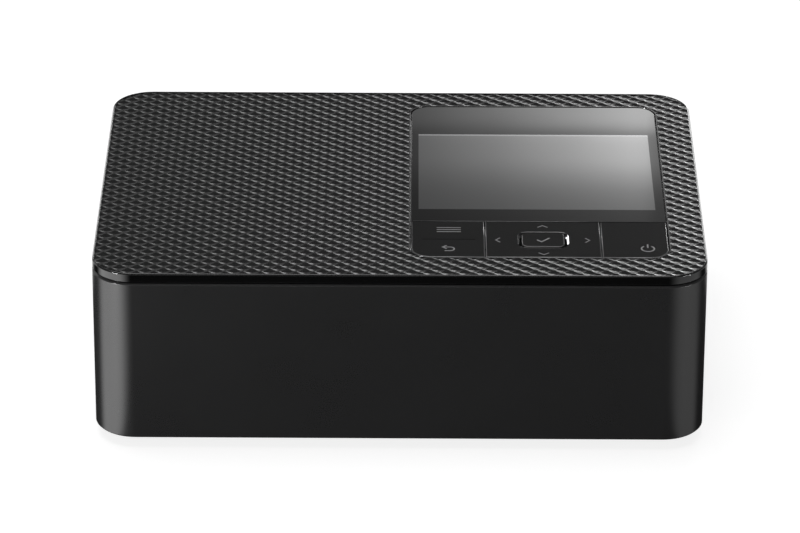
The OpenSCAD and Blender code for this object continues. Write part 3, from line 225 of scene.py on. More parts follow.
def closed_mesh(name, bm):
    """Mesh of a closed shape, with its faces pointing outwards."""
    bmesh.ops.recalc_face_normals(bm, faces=bm.faces)
    mesh = bpy.data.meshes.new(name)
    bm.to_mesh(mesh)
    bm.free()
    return mesh


def new_points(made):
    """Vertices that an extrusion has made."""
    return [v for v in made["geom"] if isinstance(v, bmesh.types.BMVert)]


def apply_modifiers(piece):
    """Bakes the live modifiers into a plain mesh."""
    graph = bpy.context.evaluated_depsgraph_get()
    baked = bpy.data.meshes.new_from_object(piece.evaluated_get(graph))
    old = piece.data
    piece.modifiers.clear()
    piece.data = baked
    bpy.data.meshes.remove(old)
    return piece


def rounded_outline(width, depth, radius, steps, centre=(0.0, 0.0)):
    """Points of a rounded rectangle, counter-clockwise, in millimetres."""
    points = []
    for turn, (sx, sy) in enumerate(((1, 1), (-1, 1), (-1, -1), (1, -1))):
        for step in range(steps + 1):
            angle = math.radians(90 * turn + 90 * step / steps)
            points.append((
                centre[0] + sx * (width / 2 - radius) + radius * math.cos(angle),
                centre[1] + sy * (depth / 2 - radius) + radius * math.sin(angle),
            ))
    return points


def prism(name, outline, low, high):
    """Closed upright prism on an outline, from one height to another, in millimetres."""
    bm = bmesh.new()
    ring = [bm.verts.new(mm(x, y, low)) for x, y in outline]
    face = bm.faces.new(ring)
    top = bmesh.ops.extrude_face_region(bm, geom=[face])
    bmesh.ops.translate(bm, verts=new_points(top), vec=mm(0, 0, high - low))
    return new_object(name, closed_mesh(name, bm))


def ringed_wall(name, rings, finish):
    """Closed wall through rings, each an outline and a height in millimetres."""
    bm = bmesh.new()
    loops = [[bm.verts.new(mm(x, y, height)) for x, y in outline] for outline, height in rings]
    count = len(loops[0])
    for k, loop in enumerate(loops):
        other = loops[(k + 1) % len(loops)]
        for i in range(count):
            j = (i + 1) % count
            bm.faces.new((loop[i], loop[j], other[j], other[i]))
    return plain_shading(new_object(name, closed_mesh(name, bm), FINISH[finish]))


def cut(piece, tool, operation):
    """Boolean of the piece with a tool that is removed afterwards."""
    step = piece.modifiers.new("cut", "BOOLEAN")
    step.operation = operation
    step.object = tool
    step.solver = "MANIFOLD"
    apply_modifiers(piece)
    bpy.data.objects.remove(tool)
    return piece


def plain_shading(piece):
    """Smooth shading that keeps sharp edges, with flat tops left flat."""
    mesh = piece.data
    mesh.shade_smooth()
    mesh.set_sharp_from_angle(angle=math.radians(PLAIN_SHARP))
    for face in mesh.polygons:
        if abs(face.normal.z) > FLAT_TOP:
            face.use_smooth = False
    return piece


def rounded_shading(piece):
    """Smooth shading led by the large faces, for a piece with rounded edges."""
    piece.data.shade_smooth()
    piece.data.set_sharp_from_angle(angle=math.radians(ROUNDED_SHARP))
    weigh = piece.modifiers.new("even shading", "WEIGHTED_NORMAL")
    weigh.keep_sharp = True
    weigh.weight = 100
    return apply_modifiers(piece)


def top_edges(bm, heights):
    """Edges at these heights between a level top and a wall."""
    def at_height(edge):
        return any(abs(v.co.z - mm(height)) < mm(HEIGHT_NEAR) for height in heights for v in edge.verts)

    def is_wall(face):
        levels = [v.co.z for v in face.verts]
        return abs(face.normal.z) < WALL_MOST and max(levels) - min(levels) > mm(WALL_LEAST)

    return [e for e in bm.edges if len(e.link_faces) == 2 and at_height(e)
            and max(f.normal.z for f in e.link_faces) > ANY_TOP
            and any(is_wall(f) for f in e.link_faces)]


def softened(node, name, width, segments, *materials, rims=None):
    """Copy of a solid with merged vertices, small round edges and even shading.

    rims names heights in millimetres: only the top edges at those heights are rounded, and the
    round gets the last material.
    """
    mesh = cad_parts[node].data.copy()
    mesh.materials.clear()
    piece = new_object(name, mesh, *materials)
    bm = bmesh.new()
    bm.from_mesh(mesh)
    bmesh.ops.remove_doubles(bm, verts=bm.verts, dist=mm(SAME_POINT))
    bmesh.ops.dissolve_limit(bm, angle_limit=math.radians(SAME_FACE), verts=bm.verts, edges=bm.edges,
                             delimit={"NORMAL"})
    for face in bm.faces:
        face.material_index = 0
    if rims:
        bmesh.ops.bevel(bm, geom=top_edges(bm, rims), offset=mm(width), segments=segments, affect="EDGES",
                        profile=0.5, clamp_overlap=False, material=len(materials) - 1)
    bm.to_mesh(mesh)
    bm.free()
    if not rims:
        bevel = piece.modifiers.new("round edges", "BEVEL")
        bevel.width = mm(width)
        bevel.segments = segments
        bevel.limit_method = "ANGLE"
        bevel.angle_limit = math.radians(ROUNDED_FROM)
        apply_modifiers(piece)
    return rounded_shading(piece)


# ---- Node building ---------------------------------------------------------

class Nodes:
    """Short calls for building a node tree."""

    def __init__(self, tree):
        self.tree = tree

    def add(self, kind, place=(0, 0), values=None, **settings):
        """Node at a place of the tree's grid, with its settings and then its input values."""
        node = self.tree.nodes.new(kind)
        node.location = (place[0] * 190, place[1] * -170)
        for key, value in settings.items():
            setattr(node, key, value)
        for label, value in (values or {}).items():
            node.inputs[label].default_value = value
        return node

    def link(self, source, target):
        self.tree.links.new(source, target)

    def math(self, operation, first, second=None, clamp=False, place=(0, 0)):
        """Result of a math node on sockets or numbers."""
        node = self.add("ShaderNodeMath", place, operation=operation, use_clamp=clamp)
        for socket, value in zip(node.inputs, (first, second)):
            if value is None:
                continue
            if isinstance(value, (int, float)):
                socket.default_value = value
            else:
                self.link(value, socket)
        return node.outputs[0]


def shader_group(name, inputs, outputs):
    """Empty shader group with float, colour or vector sockets."""
    group = bpy.data.node_groups.new(name, "ShaderNodeTree")
    for label, kind, value in inputs:
        socket = group.interface.new_socket(label, in_out="INPUT", socket_type=kind)
        if value is not None:
            socket.default_value = value
    for label, kind in outputs:
        group.interface.new_socket(label, in_out="OUTPUT", socket_type=kind)
    nodes = Nodes(group)
    return group, nodes, nodes.add("NodeGroupInput", (-4, 0)), nodes.add("NodeGroupOutput", (6, 0))


def moulded_grain_group():
    """Fine moulded grain: uneven roughness and a shallow bump."""
    group, n, given, made = shader_group(
        "moulded grain",
        [("Vector", "NodeSocketVector", None), ("Grain Scale", "NodeSocketFloat", 4000.0),
         ("Grain Depth", "NodeSocketFloat", 0.1), ("Roughness", "NodeSocketFloat", 0.4),
         ("Roughness Spread", "NodeSocketFloat", 0.08)],
        [("Roughness", "NodeSocketFloat"), ("Height", "NodeSocketFloat")])
    fine = n.add("ShaderNodeTexNoise", (-2, 0), {"Detail": 3.0})
    broad = n.add("ShaderNodeTexNoise", (-2, 2), {"Scale": 55.0, "Detail": 4.0})
    n.link(given.outputs["Vector"], fine.inputs["Vector"])
    n.link(given.outputs["Vector"], broad.inputs["Vector"])
    n.link(given.outputs["Grain Scale"], fine.inputs["Scale"])
    mixed = n.math("ADD", fine.outputs["Fac"], broad.outputs["Fac"], place=(0, 1))
    centred = n.math("SUBTRACT", mixed, 1.0, place=(1, 1))
    spread = n.math("MULTIPLY", centred, given.outputs["Roughness Spread"], place=(2, 1))
    rough = n.math("ADD", spread, given.outputs["Roughness"], clamp=True, place=(3, 1))
    height = n.math("MULTIPLY", fine.outputs["Fac"], given.outputs["Grain Depth"], place=(3, 0))
    n.link(rough, made.inputs["Roughness"])
    n.link(height, made.inputs["Height"])
    return group


def smudge_group():
    """Soft handling smudges, as a mask from 0 to 1."""
    group, n, given, made = shader_group(
        "handling smudges",
        [("Vector", "NodeSocketVector", None), ("Scale", "NodeSocketFloat", 30.0),
         ("Cover", "NodeSocketFloat", 0.4)],
        [("Mask", "NodeSocketFloat")])
    cloud = n.add("ShaderNodeTexNoise", (-2, 0), {"Detail": 6.0, "Distortion": 0.6})
    n.link(given.outputs["Vector"], cloud.inputs["Vector"])
    n.link(given.outputs["Scale"], cloud.inputs["Scale"])
    low = n.math("SUBTRACT", cloud.outputs["Fac"], SMUDGE_FROM, place=(0, 0))
    wide = n.math("MULTIPLY", low, SMUDGE_STEEP, clamp=True, place=(1, 0))
    n.link(n.math("MULTIPLY", wide, given.outputs["Cover"], place=(2, 0)), made.inputs["Mask"])
    return group


def ramp(n, value, low, high, place):
    """0 below low, 1 above high, with soft ends."""
    node = n.add("ShaderNodeMapRange", place, {"From Min": low, "From Max": high},
                 interpolation_type="SMOOTHSTEP")
    n.link(value, node.inputs["Value"])
    return node.outputs["Result"]


def opposite(n, value, place):
    """1 less the value."""
    return n.math("SUBTRACT", 1.0, value, place=place)


def between(n, value, grows, fades, place):
    """0, then 1 past the range over which it grows, then 0 past the range over which it fades."""
    x, y = place
    rise = ramp(n, value, *grows, (x, y))
    fall = opposite(n, ramp(n, value, *fades, (x, y + 1)), (x + 1, y + 1))
    return n.math("MULTIPLY", rise, fall, place=(x + 2, y))


def profile(n, value, stops, place):
    """Straight lines between stops, each a value and its result from 0 to 1."""
    first, last = stops[0][0], stops[-1][0]
    node = n.add("ShaderNodeValToRGB", (place[0] + 1, place[1]))
    line = node.color_ramp.elements
    for i, (where, result) in enumerate(stops):
        at = (where - first) / (last - first)
        stop = line[0] if i == 0 else line[-1] if i == len(stops) - 1 else line.new(at)
        stop.position = at
        stop.color = (result, result, result, 1.0)
    past = n.math("SUBTRACT", value, first, place=(place[0] - 1, place[1]))
    n.link(n.math("DIVIDE", past, last - first, clamp=True, place=place), node.inputs["Fac"])
    return node.outputs["Color"]


def box_mask(n, coordinate, low, high, soft, place):
    """1 inside a range of one coordinate, falling to 0 over soft, in millimetres."""
    x, y = place
    above = n.math("SUBTRACT", coordinate, mm(low), place=(x, y))
    below = n.math("SUBTRACT", mm(high), coordinate, place=(x, y + 1))
    rise = n.math("DIVIDE", above, mm(soft), clamp=True, place=(x + 1, y))
    fall = n.math("DIVIDE", below, mm(soft), clamp=True, place=(x + 1, y + 1))
    return n.math("MULTIPLY", rise, fall, place=(x + 2, y))


# ---- Finishes --------------------------------------------------------------

GRAIN = moulded_grain_group()
SMUDGES = smudge_group()


def bare_material(name):
    """Material with an empty tree: itself, its nodes and the piece's own coordinates."""
    material = bpy.data.materials.new(name)
    material.use_nodes = True
    material.node_tree.nodes.clear()
    n = Nodes(material.node_tree)
    return material, n, n.add("ShaderNodeTexCoord", (-9, 0)).outputs["Object"]


def axes_of(n, vector, place):
    """X, Y and Z of a vector."""
    axes = n.add("ShaderNodeSeparateXYZ", place)
    n.link(vector, axes.inputs[0])
    return axes.outputs


def put_out(n, kind, shader, place):
    """Output node that shows a shader."""
    n.link(shader, n.add(kind, place).inputs["Surface"])


def smudges(n, where, cover, place):
    """Mask of handling smudges with this cover."""
    node = n.add("ShaderNodeGroup", place, {"Cover": cover}, node_tree=SMUDGES)
    n.link(where, node.inputs["Vector"])
    return node.outputs["Mask"]


def moulded(name, colour, roughness, spread=0.06, grain=4000.0, depth=0.05, specular=0.5, coat=0.0,
            smudge=0.0, metallic=0.0):
    """Moulded, painted or metal surface with grain, smudges and a slight change of tone."""
    material, n, where = bare_material(name)
    grained = n.add("ShaderNodeGroup", (-4, 0), {
        "Grain Scale": grain, "Grain Depth": depth, "Roughness": roughness, "Roughness Spread": spread},
        node_tree=GRAIN)
    n.link(where, grained.inputs["Vector"])
    mask = smudges(n, where, smudge, (-4, 2))
    rough = n.math("ADD", grained.outputs["Roughness"], mask, clamp=True, place=(-2, 1))
    smudged = [min(1, part * (1 + SMUDGE_TINT) + SMUDGE_LIFT) for part in colour]
    tone = n.add("ShaderNodeMix", (-2, 3), {"A": (*colour, 1), "B": (*smudged, 1)}, data_type="RGBA")
    n.link(mask, tone.inputs["Factor"])
    relief = n.add("ShaderNodeBump", (-2, 5), {"Distance": mm(GRAIN_RELIEF)})
    n.link(grained.outputs["Height"], relief.inputs["Height"])
    surface = n.add("ShaderNodeBsdfPrincipled", (0, 0), {
        "Metallic": metallic, "Specular IOR Level": specular, "IOR": PLASTIC_IOR,
        "Coat Weight": coat, "Coat Roughness": COAT_ROUGH})
    n.link(tone.outputs["Result"], surface.inputs["Base Color"])
    n.link(rough, surface.inputs["Roughness"])
    n.link(relief.outputs["Normal"], surface.inputs["Normal"])
    put_out(n, "ShaderNodeOutputMaterial", surface.outputs["BSDF"], (2, 0))
    return material


def window_glass():
    """Gloss window: the display behind it reads as a paler field, with a thin painted highlight along its
    rear edge.
    """
    material, n, where = bare_material("display window")
    axes = axes_of(n, where, (-8, 0))
    across = box_mask(n, axes["X"], SCREEN_X0, SCREEN_X1, SCREEN_SOFT, (-7, 0))
    along = box_mask(n, axes["Y"], SCREEN_Y0, SCREEN_Y1, SCREEN_SOFT, (-7, 2))
    # The thin paler strip along the display's rear edge is painted highlight
    rear = box_mask(n, axes["Y"], SCREEN_Y1 - REAR_HIGHLIGHT_W, SCREEN_Y1, REAR_HIGHLIGHT_SOFT, (-7, 4))
    field = n.math("MULTIPLY", across, along, place=(-4, 0))
    line = n.math("MULTIPLY", across, rear, place=(-4, 2))
    ground = n.add("ShaderNodeMix", (-3, 0), {"A": BORDER_COLOUR, "B": FIELD_COLOUR}, data_type="RGBA")
    n.link(field, ground.inputs["Factor"])
    highlighted = n.add("ShaderNodeMix", (-2, 2), {"B": REAR_HIGHLIGHT_COLOUR}, data_type="RGBA")
    n.link(line, highlighted.inputs["Factor"])
    n.link(ground.outputs["Result"], highlighted.inputs["A"])
    mask = smudges(n, where, WINDOW_SMUDGE, (-4, 5))
    rough = n.math("ADD", mask, WINDOW_ROUGH, place=(-2, 5))
    shine = n.math("ADD", n.math("MULTIPLY", field, 0.5, place=(-3, 6)), 0.5, place=(-2, 6))
    surface = n.add("ShaderNodeBsdfPrincipled", (0, 0), {
        "IOR": PLASTIC_IOR, "Coat IOR": DISPLAY_IOR, "Coat Roughness": COAT_ROUGH})
    n.link(highlighted.outputs["Result"], surface.inputs["Base Color"])
    n.link(rough, surface.inputs["Roughness"])
    n.link(shine, surface.inputs["Specular IOR Level"])
    n.link(field, surface.inputs["Coat Weight"])
    put_out(n, "ShaderNodeOutputMaterial", surface.outputs["BSDF"], (2, 0))
    return material


FINISH = {
    "shell": moulded("satin shell", (0.0065, 0.0065, 0.0067), 0.28, spread=0.03, specular=1.0, coat=0.3,
                     smudge=0.01),
    "band": moulded("gloss band", (0.0005, 0.0005, 0.00055), 0.09, spread=0.01, depth=0.01, specular=1.0,
                    coat=0.8),
    "ridges": moulded("ridged top", (0.006, 0.006, 0.0062), 0.17, spread=0.03, specular=0.6, smudge=0.01),
    "keys": moulded("key plates", (0.0065, 0.0065, 0.0066), 0.52, spread=0.04, specular=0.03),
    "well": moulded("gloss key edge", (0.006, 0.006, 0.0065), 0.10, spread=0.02, coat=1.0),
    "trim": moulded("gloss trim", (0.009, 0.009, 0.0092), 0.16, spread=0.03, depth=0.02),
    "marks": moulded("printed marks", (0.22, 0.22, 0.225), 0.5, depth=0.02),
    # The four-way key's chevrons are debossed marks; the paler colour of these strokes is painted highlight
    "chevron highlight": moulded("debossed chevrons, painted highlight", (0.14, 0.14, 0.145), 0.5, depth=0.02),
    # Rounded top edges of the keys and of the window: their paler colour is painted highlight, on top of
    # their gloss
    "key edge": moulded("key edge, painted highlight", (0.13, 0.13, 0.132), 0.18, spread=0.02, depth=0.01, specular=0.9),
    "window edge, painted highlight": moulded("window edge, painted highlight", (0.06, 0.06, 0.061), 0.14, spread=0.02, depth=0.01, specular=0.7),
    "inner": moulded("inner plastic", (0.03, 0.03, 0.032), 0.55, spread=0.08, depth=0.1),
    "ink": moulded("cassette plastic", (0.07, 0.07, 0.075), 0.45),
    "board": moulded("circuit board", (0.012, 0.10, 0.04), 0.35, spread=0.1, grain=900.0),
    "rubber": moulded("rubber", (0.018, 0.018, 0.018), 0.8, spread=0.08, depth=0.2, specular=0.3),
    "steel": moulded("plated steel", (0.62, 0.62, 0.63), 0.32, spread=0.12, metallic=1.0, grain=1500.0),
    "shaft": moulded("ground steel", (0.66, 0.66, 0.67), 0.22, spread=0.1, metallic=1.0, grain=2500.0),
    "gears": moulded("gear plastic", (0.72, 0.70, 0.63), 0.45),
    "brass": moulded("brass", (0.72, 0.50, 0.20), 0.3, metallic=1.0),
    "aluminium": moulded("extruded aluminium", (0.68, 0.69, 0.70), 0.35, metallic=1.0, grain=800.0),
    "ceramic": moulded("ceramic head", (0.72, 0.69, 0.62), 0.25),
    "supply": moulded("supply film", (0.30, 0.22, 0.05), 0.25, coat=0.5),
    "takeup": moulded("used film", (0.07, 0.11, 0.24), 0.25, coat=0.5),
    "lever": moulded("lever plastic", (0.42, 0.05, 0.035), 0.4),
    "window": window_glass(),
    "display": moulded("display glass", (0.05, 0.05, 0.055), 0.1),
}


# ---- Ridged top ------------------------------------------------------------

def ridge_tree():
    """Geometry tree: rounded diamond bowls side by side, which leaves crossed ridges between them."""
    tree = bpy.data.node_groups.new("crossed ridges", "GeometryNodeTree")
    for label, kind, value in (
            ("Pitch X", "NodeSocketFloat", mm(RIDGE_PITCH_X)),
            ("Pitch Y", "NodeSocketFloat", mm(RIDGE_PITCH_Y)),
            ("Depth", "NodeSocketFloat", mm(RIDGE_DEPTH)),
            ("Hollow", "NodeSocketFloat", BOWL_HOLLOW),
            ("Knot", "NodeSocketFloat", BOWL_KNOT),
            ("Points", "NodeSocketInt", BOWL_POINTS),
            ("Columns", "NodeSocketInt", BOWL_COLUMNS),
            ("Rows", "NodeSocketInt", BOWL_ROWS),
            ("Finish", "NodeSocketMaterial", None)):
        socket = tree.interface.new_socket(label, in_out="INPUT", socket_type=kind)
        if value is not None:
            socket.default_value = value
    tree.interface.new_socket("Geometry", in_out="OUTPUT", socket_type="NodeSocketGeometry")
    n = Nodes(tree)
    given = n.add("NodeGroupInput", (-10, 0)).outputs
    made = n.add("NodeGroupOutput", (10, 0))
    bowl = bowl_nodes(n, given)
    grids = bowl_places(n, given)

    spread = n.add("GeometryNodeInstanceOnPoints", (6, 2))
    n.link(grids.outputs["Geometry"], spread.inputs["Points"])
    n.link(bowl.outputs["Geometry"], spread.inputs["Instance"])
    real = n.add("GeometryNodeRealizeInstances", (7, 1))
    n.link(spread.outputs["Instances"], real.inputs["Geometry"])
    weld = n.add("GeometryNodeMergeByDistance", (8, 1), {"Distance": mm(BOWL_JOIN)})
    n.link(real.outputs["Geometry"], weld.inputs["Geometry"])
    finish = n.add("GeometryNodeSetMaterial", (9, 0))
    n.link(weld.outputs["Geometry"], finish.inputs["Geometry"])
    n.link(given["Finish"], finish.inputs["Material"])
    n.link(finish.outputs["Geometry"], made.inputs["Geometry"])
    return tree


def bowl_nodes(n, given):
    """One bowl: a square grid whose sides become the ridges of the diamond."""
    square = n.add("GeometryNodeMeshGrid", (-8, 0), {"Size X": 1.0, "Size Y": 1.0})
    n.link(given["Points"], square.inputs["Vertices X"])
    n.link(given["Points"], square.inputs["Vertices Y"])
    where = n.add("GeometryNodeInputPosition", (-9, 3))
    sides = axes_of(n, where.outputs[0], (-8, 3))
    walls = []
    for row, axis in ((3, "X"), (4, "Y")):
        out = n.math("MULTIPLY", sides[axis], 2.0, place=(-7, row))
        wall = n.math("POWER", n.math("ABSOLUTE", out, place=(-6, row)), given["Hollow"], place=(-5, row))
        walls.append(n.math("POWER", wall, given["Knot"], place=(-4, row)))
    root = n.math("DIVIDE", 1.0, given["Knot"], place=(-4, 5))
    level = n.math("POWER", n.math("ADD", *walls, place=(-3, 3)), root, place=(-2, 3))
    sunk = n.math("SUBTRACT", level, 1.0, place=(-1, 3))
    point = n.add("ShaderNodeCombineXYZ", (1, 4))
    for row, operation, axis in ((6, "ADD", "X"), (7, "SUBTRACT", "Y")):
        turned = n.math(operation, sides["X"], sides["Y"], place=(-3, row))
        half = n.math("MULTIPLY", turned, 0.5, place=(-2, row))
        n.link(n.math("MULTIPLY", half, given["Pitch " + axis], place=(-1, row)), point.inputs[axis])
    n.link(n.math("MULTIPLY", sunk, given["Depth"], place=(0, 3)), point.inputs["Z"])
    bowl = n.add("GeometryNodeSetPosition", (2, 0))
    n.link(square.outputs["Mesh"], bowl.inputs["Geometry"])
    n.link(point.outputs[0], bowl.inputs["Position"])
    return bowl


def bowl_places(n, given):
    """Points of the bowls: two grids, one set half a pitch along both ways."""
    grids = n.add("GeometryNodeJoinGeometry", (4, 9))
    for half in (0.5, 0.0):
        row = 9 + half * 6
        grid = n.add("GeometryNodeMeshGrid", (0, row))
        shift = n.add("ShaderNodeCombineXYZ", (1, row + 1))
        for axis, count in (("X", "Columns"), ("Y", "Rows")):
            n.link(given[count], grid.inputs["Vertices " + axis])
            gaps = n.math("SUBTRACT", given[count], 1.0, place=(-2, row))
            reach = n.math("MULTIPLY", gaps, given["Pitch " + axis], place=(-1, row))
            n.link(reach, grid.inputs["Size " + axis])
            aside = n.math("MULTIPLY", given["Pitch " + axis], half, place=(0, row + 1))
            n.link(aside, shift.inputs[axis])
        move = n.add("GeometryNodeTransform", (2, row))
        n.link(grid.outputs["Mesh"], move.inputs["Geometry"])
        n.link(shift.outputs[0], move.inputs["Translation"])
        n.link(move.outputs["Geometry"], grids.inputs["Geometry"])
    return grids


def set_inputs(modifier, **values):
    """Sets a geometry modifier's inputs by socket identifier."""
    for item in modifier.node_group.interface.items_tree:
        if item.item_type == "SOCKET" and item.in_out == "INPUT" and item.name in values:
            modifier[item.identifier] = values[item.name]


def ridged_top():
    """Top panel with crossed ridges, cut off by its rim and by the opening."""
    piece = new_object("ridged_top", bpy.data.meshes.new("ridged_top"))
    modifier = piece.modifiers.new("ridges", "NODES")
    modifier.node_group = ridge_tree()
    set_inputs(modifier, Finish=FINISH["ridges"])
    apply_modifiers(piece)

    # The lattice is centred on the pit that lies nearest to the middle of the body
    lattice_x = PIT_X + round(-PIT_X / RIDGE_PITCH_X) * RIDGE_PITCH_X
    lattice_y = PIT_Y + round(-PIT_Y / RIDGE_PITCH_Y) * RIDGE_PITCH_Y
    bm = bmesh.new()
    bm.from_mesh(piece.data)
    bmesh.ops.translate(bm, verts=bm.verts, vec=mm(lattice_x, lattice_y, RIDGE_TOP))
    walls = bmesh.ops.extrude_edge_only(bm, edges=[e for e in bm.edges if e.is_boundary])
    for vertex in new_points(walls):
        vertex.co.z = mm(RIDGE_BASE - 2 * CUT_SPARE)
    bmesh.ops.contextual_create(bm, geom=[e for e in bm.edges if e.is_boundary])
    bmesh.ops.recalc_face_normals(bm, faces=bm.faces)
    bm.to_mesh(piece.data)
    bm.free()

    inset = 2 * RIM_W + 2 * RIM_GAP
    rim = rounded_outline(BODY_W - inset, BODY_D - inset, CORNER_R - RIM_W, RIM_STEPS)
    cut(piece, prism("panel edge", rim, RIDGE_BASE, RIDGE_TOP + CUT_SPARE), "INTERSECT")
    low, high = RIDGE_BASE - 3 * CUT_SPARE, RIDGE_TOP + 2 * CUT_SPARE
    cut(piece, prism("panel opening", opening_outline(LIP_W), low, high), "DIFFERENCE")
    return seat(plain_shading(piece), "chassis", "textured_top", "textured_panel")


def opening_outline(grow):
    """Outline of the opening, moved outwards by a distance."""
    return rounded_outline(
        OPENING_X1 - OPENING_X0 + 2 * grow, OPENING_Y1 - OPENING_Y0 + 2 * grow, OPENING_R + grow,
        OPENING_STEPS, ((OPENING_X0 + OPENING_X1) / 2, (OPENING_Y0 + OPENING_Y1) / 2))


def opening_trim():
    """Smooth narrow lip round the opening, with a rounded top."""
    rings = [(opening_outline(out), height) for out, height in LIP_SECTION]
    return seat(ringed_wall("opening_trim", rings, "trim"), "chassis", "textured_top")


# ---- Signs on the keys -----------------------------------------------------

def stroke(bm, points, width, level):
    """Flat line of a given width through points in millimetres, with mitred corners."""
    left, right = [], []
    for i, point in enumerate(points):
        here = Vector(point)
        ahead = (Vector(points[i + 1]) - here).normalized() if i < len(points) - 1 else None
        behind = (here - Vector(points[i - 1])).normalized() if i else ahead
        ahead = ahead or behind
        mean = (ahead + behind).normalized()
        side = Vector((-mean.y, mean.x))
        reach = width / 2 / max(MITRE_LEAST, side.dot(Vector((-ahead.y, ahead.x))))
        left.append(bm.verts.new(mm(*(here + side * reach), level)))
        right.append(bm.verts.new(mm(*(here - side * reach), level)))
    for i in range(len(points) - 1):
        bm.faces.new((right[i], right[i + 1], left[i + 1], left[i]))


def arc(centre, radius, start, end, steps):
    """Points of an arc between two angles in degrees."""
    angles = [math.radians(start + (end - start) * i / steps) for i in range(steps + 1)]
    return [(centre[0] + radius * math.cos(a), centre[1] + radius * math.sin(a)) for a in angles]


def chevron(x, y, turn):
    """Two lines that meet in a point, turned by an angle in degrees."""
    spin = Matrix.Rotation(math.radians(turn), 2)
    rise = CHEVRON_HALF * CHEVRON_SLOPE
    points = ((-CHEVRON_HALF, -rise), (0, rise), (CHEVRON_HALF, -rise))
    return [tuple(spin @ Vector(point) + Vector((x, y))) for point in points]


def key_sign(name, body, lines, width, level=KEY_TOP, finish="marks"):
    """Sign on a key: thin strokes laid on its face."""
    bm = bmesh.new()
    for points in lines:
        stroke(bm, points, width, level + SIGN_LIFT)
    lower = bmesh.ops.extrude_face_region(bm, geom=list(bm.faces))
    bmesh.ops.translate(bm, verts=new_points(lower), vec=mm(0, 0, -SIGN_LIFT * SIGN_SINK))
    return seat(new_object(name, closed_mesh(name, bm), FINISH[finish]), body, "keys")


def key_signs():
    """Menu bars, back arrow, four chevrons, check mark and power sign."""
    bars = [[(BAR_X0, y), (BAR_X1, y)] for y in BAR_ROWS]
    key_sign("menu_mark", "menu_key", bars, BAR_LINE)
    shaft = [BACK_TIP] + arc(BACK_BEND, BACK_BEND_R, 90, -90, BEND_STEPS) + [BACK_END]
    key_sign("back_mark", "menu_key", [shaft, BACK_HEAD], ARROW_LINE)
    chevrons = [chevron(*place) for place in CHEVRONS]
    # The chevrons' paler colour is painted highlight
    key_sign("direction_marks", "nav_key", chevrons, ARROW_LINE, finish="chevron highlight")
    key_sign("confirm_mark", "ok_key", [CHECK], CHECK_LINE, level=CONFIRM_TOP)
    ring = arc(POWER_MIDDLE, POWER_R, POWER_START, POWER_END, POWER_STEPS)
    key_sign("power_mark", "power_key", [ring, POWER_BAR], POWER_LINE)


# ---- Covers, keys and base -------------------------------------------------

# Finish of the rounded top edges, where they have their own: a paler colour, which is painted highlight
EDGE_FINISH = {"keys": "key edge", "window": "window edge, painted highlight"}


def dressed_solids():
    """Solids that show, with small round edges that catch the light; those of the keys and the window also
    carry painted highlight.
    """
    # Node, new piece, width of its round edges, their segments, finish, body and slot
    plan = [
        ("outer_shell", "shell_wall", 0.22, 2, "shell", "chassis", "satin_shell"),
        ("front_cover", "wrap_cover", 0.25, 2, "shell", "cover", "satin_shell"),
        ("ink_door", "side_door", 0.15, 2, "shell", "side_door", "satin_shell"),
        ("top_cover", "gloss_band", 0.10, 3, "band", "chassis", "gloss_band"),
        ("lcd_window", "display_window", 0.12, 2, "window", "chassis", "window"),
        ("key_menu", "menu_key", KEY_ROUND, 2, "keys", "menu_key", "keys"),
        ("key_ok", "ok_key", 0.12, 2, "keys", "ok_key", "keys"),
        ("key_power", "power_key", KEY_ROUND, 2, "keys", "power_key", "keys"),
        ("rubber_feet", "feet", 0.5, 3, "rubber", "chassis", "rubber"),
        ("rear_flap", "exit_flap", 0.1, 2, "inner", "exit_flap", "inner_plastic"),
    ]
    for node, name, width, segments, finish, body, slot in plan:
        edge = EDGE_FINISH.get(finish)
        finishes = [FINISH[finish], FINISH[edge]] if edge else [FINISH[finish]]
        rims = (KEY_TOP, CONFIRM_TOP) if edge else None
        seat(softened(node, name, width, segments, *finishes, rims=rims), body, slot, node)


def direction_key():
    """Direction key: its sloping well is gloss, the rest is satin."""
    # Its rounded top edge takes the key edge finish, which is painted highlight
    piece = softened("key_nav", "direction_key", KEY_ROUND, 2, FINISH["keys"], FINISH["well"],
                     FINISH["key edge"], rims=(KEY_TOP,))
    for face in piece.data.polygons:
        x, y, z = face.center
        inside = abs(x - mm(RING_X)) < mm(WELL_X) and abs(y - mm(RING_Y)) < mm(WELL_Y)
        if inside and face.normal.z < WELL_LEVEL and z > mm(WELL_LOW):
            face.material_index = 1
    return seat(piece, "nav_key", "keys", "key_nav")


def well_trim():
    """Gloss sloping wall of the well round the confirm key."""
    rings = [(rounded_outline(width, depth, radius, WELL_STEPS, (RING_X, RING_Y)), height)
             for width, depth, radius, height in WELL_RINGS]
    return seat(ringed_wall("well_trim", rings, "well"), "nav_key", "keys")


def dress_inner_parts():
    """Finishes of the solids that are carried over as they are."""
    groups = {
        "inner": ("bottom_case", "key_frame", "nav_pivot", "front_frame", "cassette_tray", "paper_guide",
                  "inner_flap", "power_inlet"),
        "ink": ("ink_cassette", "ink_frame"),
        "board": ("key_board", "main_board", "io_board"),
        "rubber": ("keypad_mat", "platen_rubber", "pickup_roller", "pinch_roller"),
        "steel": ("left_plate", "right_plate", "motor_bracket", "card_slot", "usb_port", "data_port",
                  "case_screws", "drive_motor"),
        "shaft": ("head_shaft", "platen_shaft", "feed_roller", "head_arms"),
        "gears": ("platen_gear", "feed_gear", "pickup_gear", "idler_gear"),
        "brass": ("motor_pinion",),
        "aluminium": ("heat_sink",),
        "ceramic": ("thermal_head",),
        "supply": ("supply_spool", "ink_ribbon"),
        "takeup": ("takeup_spool",),
        "lever": ("eject_lever",),
        "display": ("lcd_module",),
    }
    for finish, nodes in groups.items():
        for node in nodes:
            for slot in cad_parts[node].material_slots:
                slot.material = FINISH[finish]


# ---- Camera, floor and light -----------------------------------------------

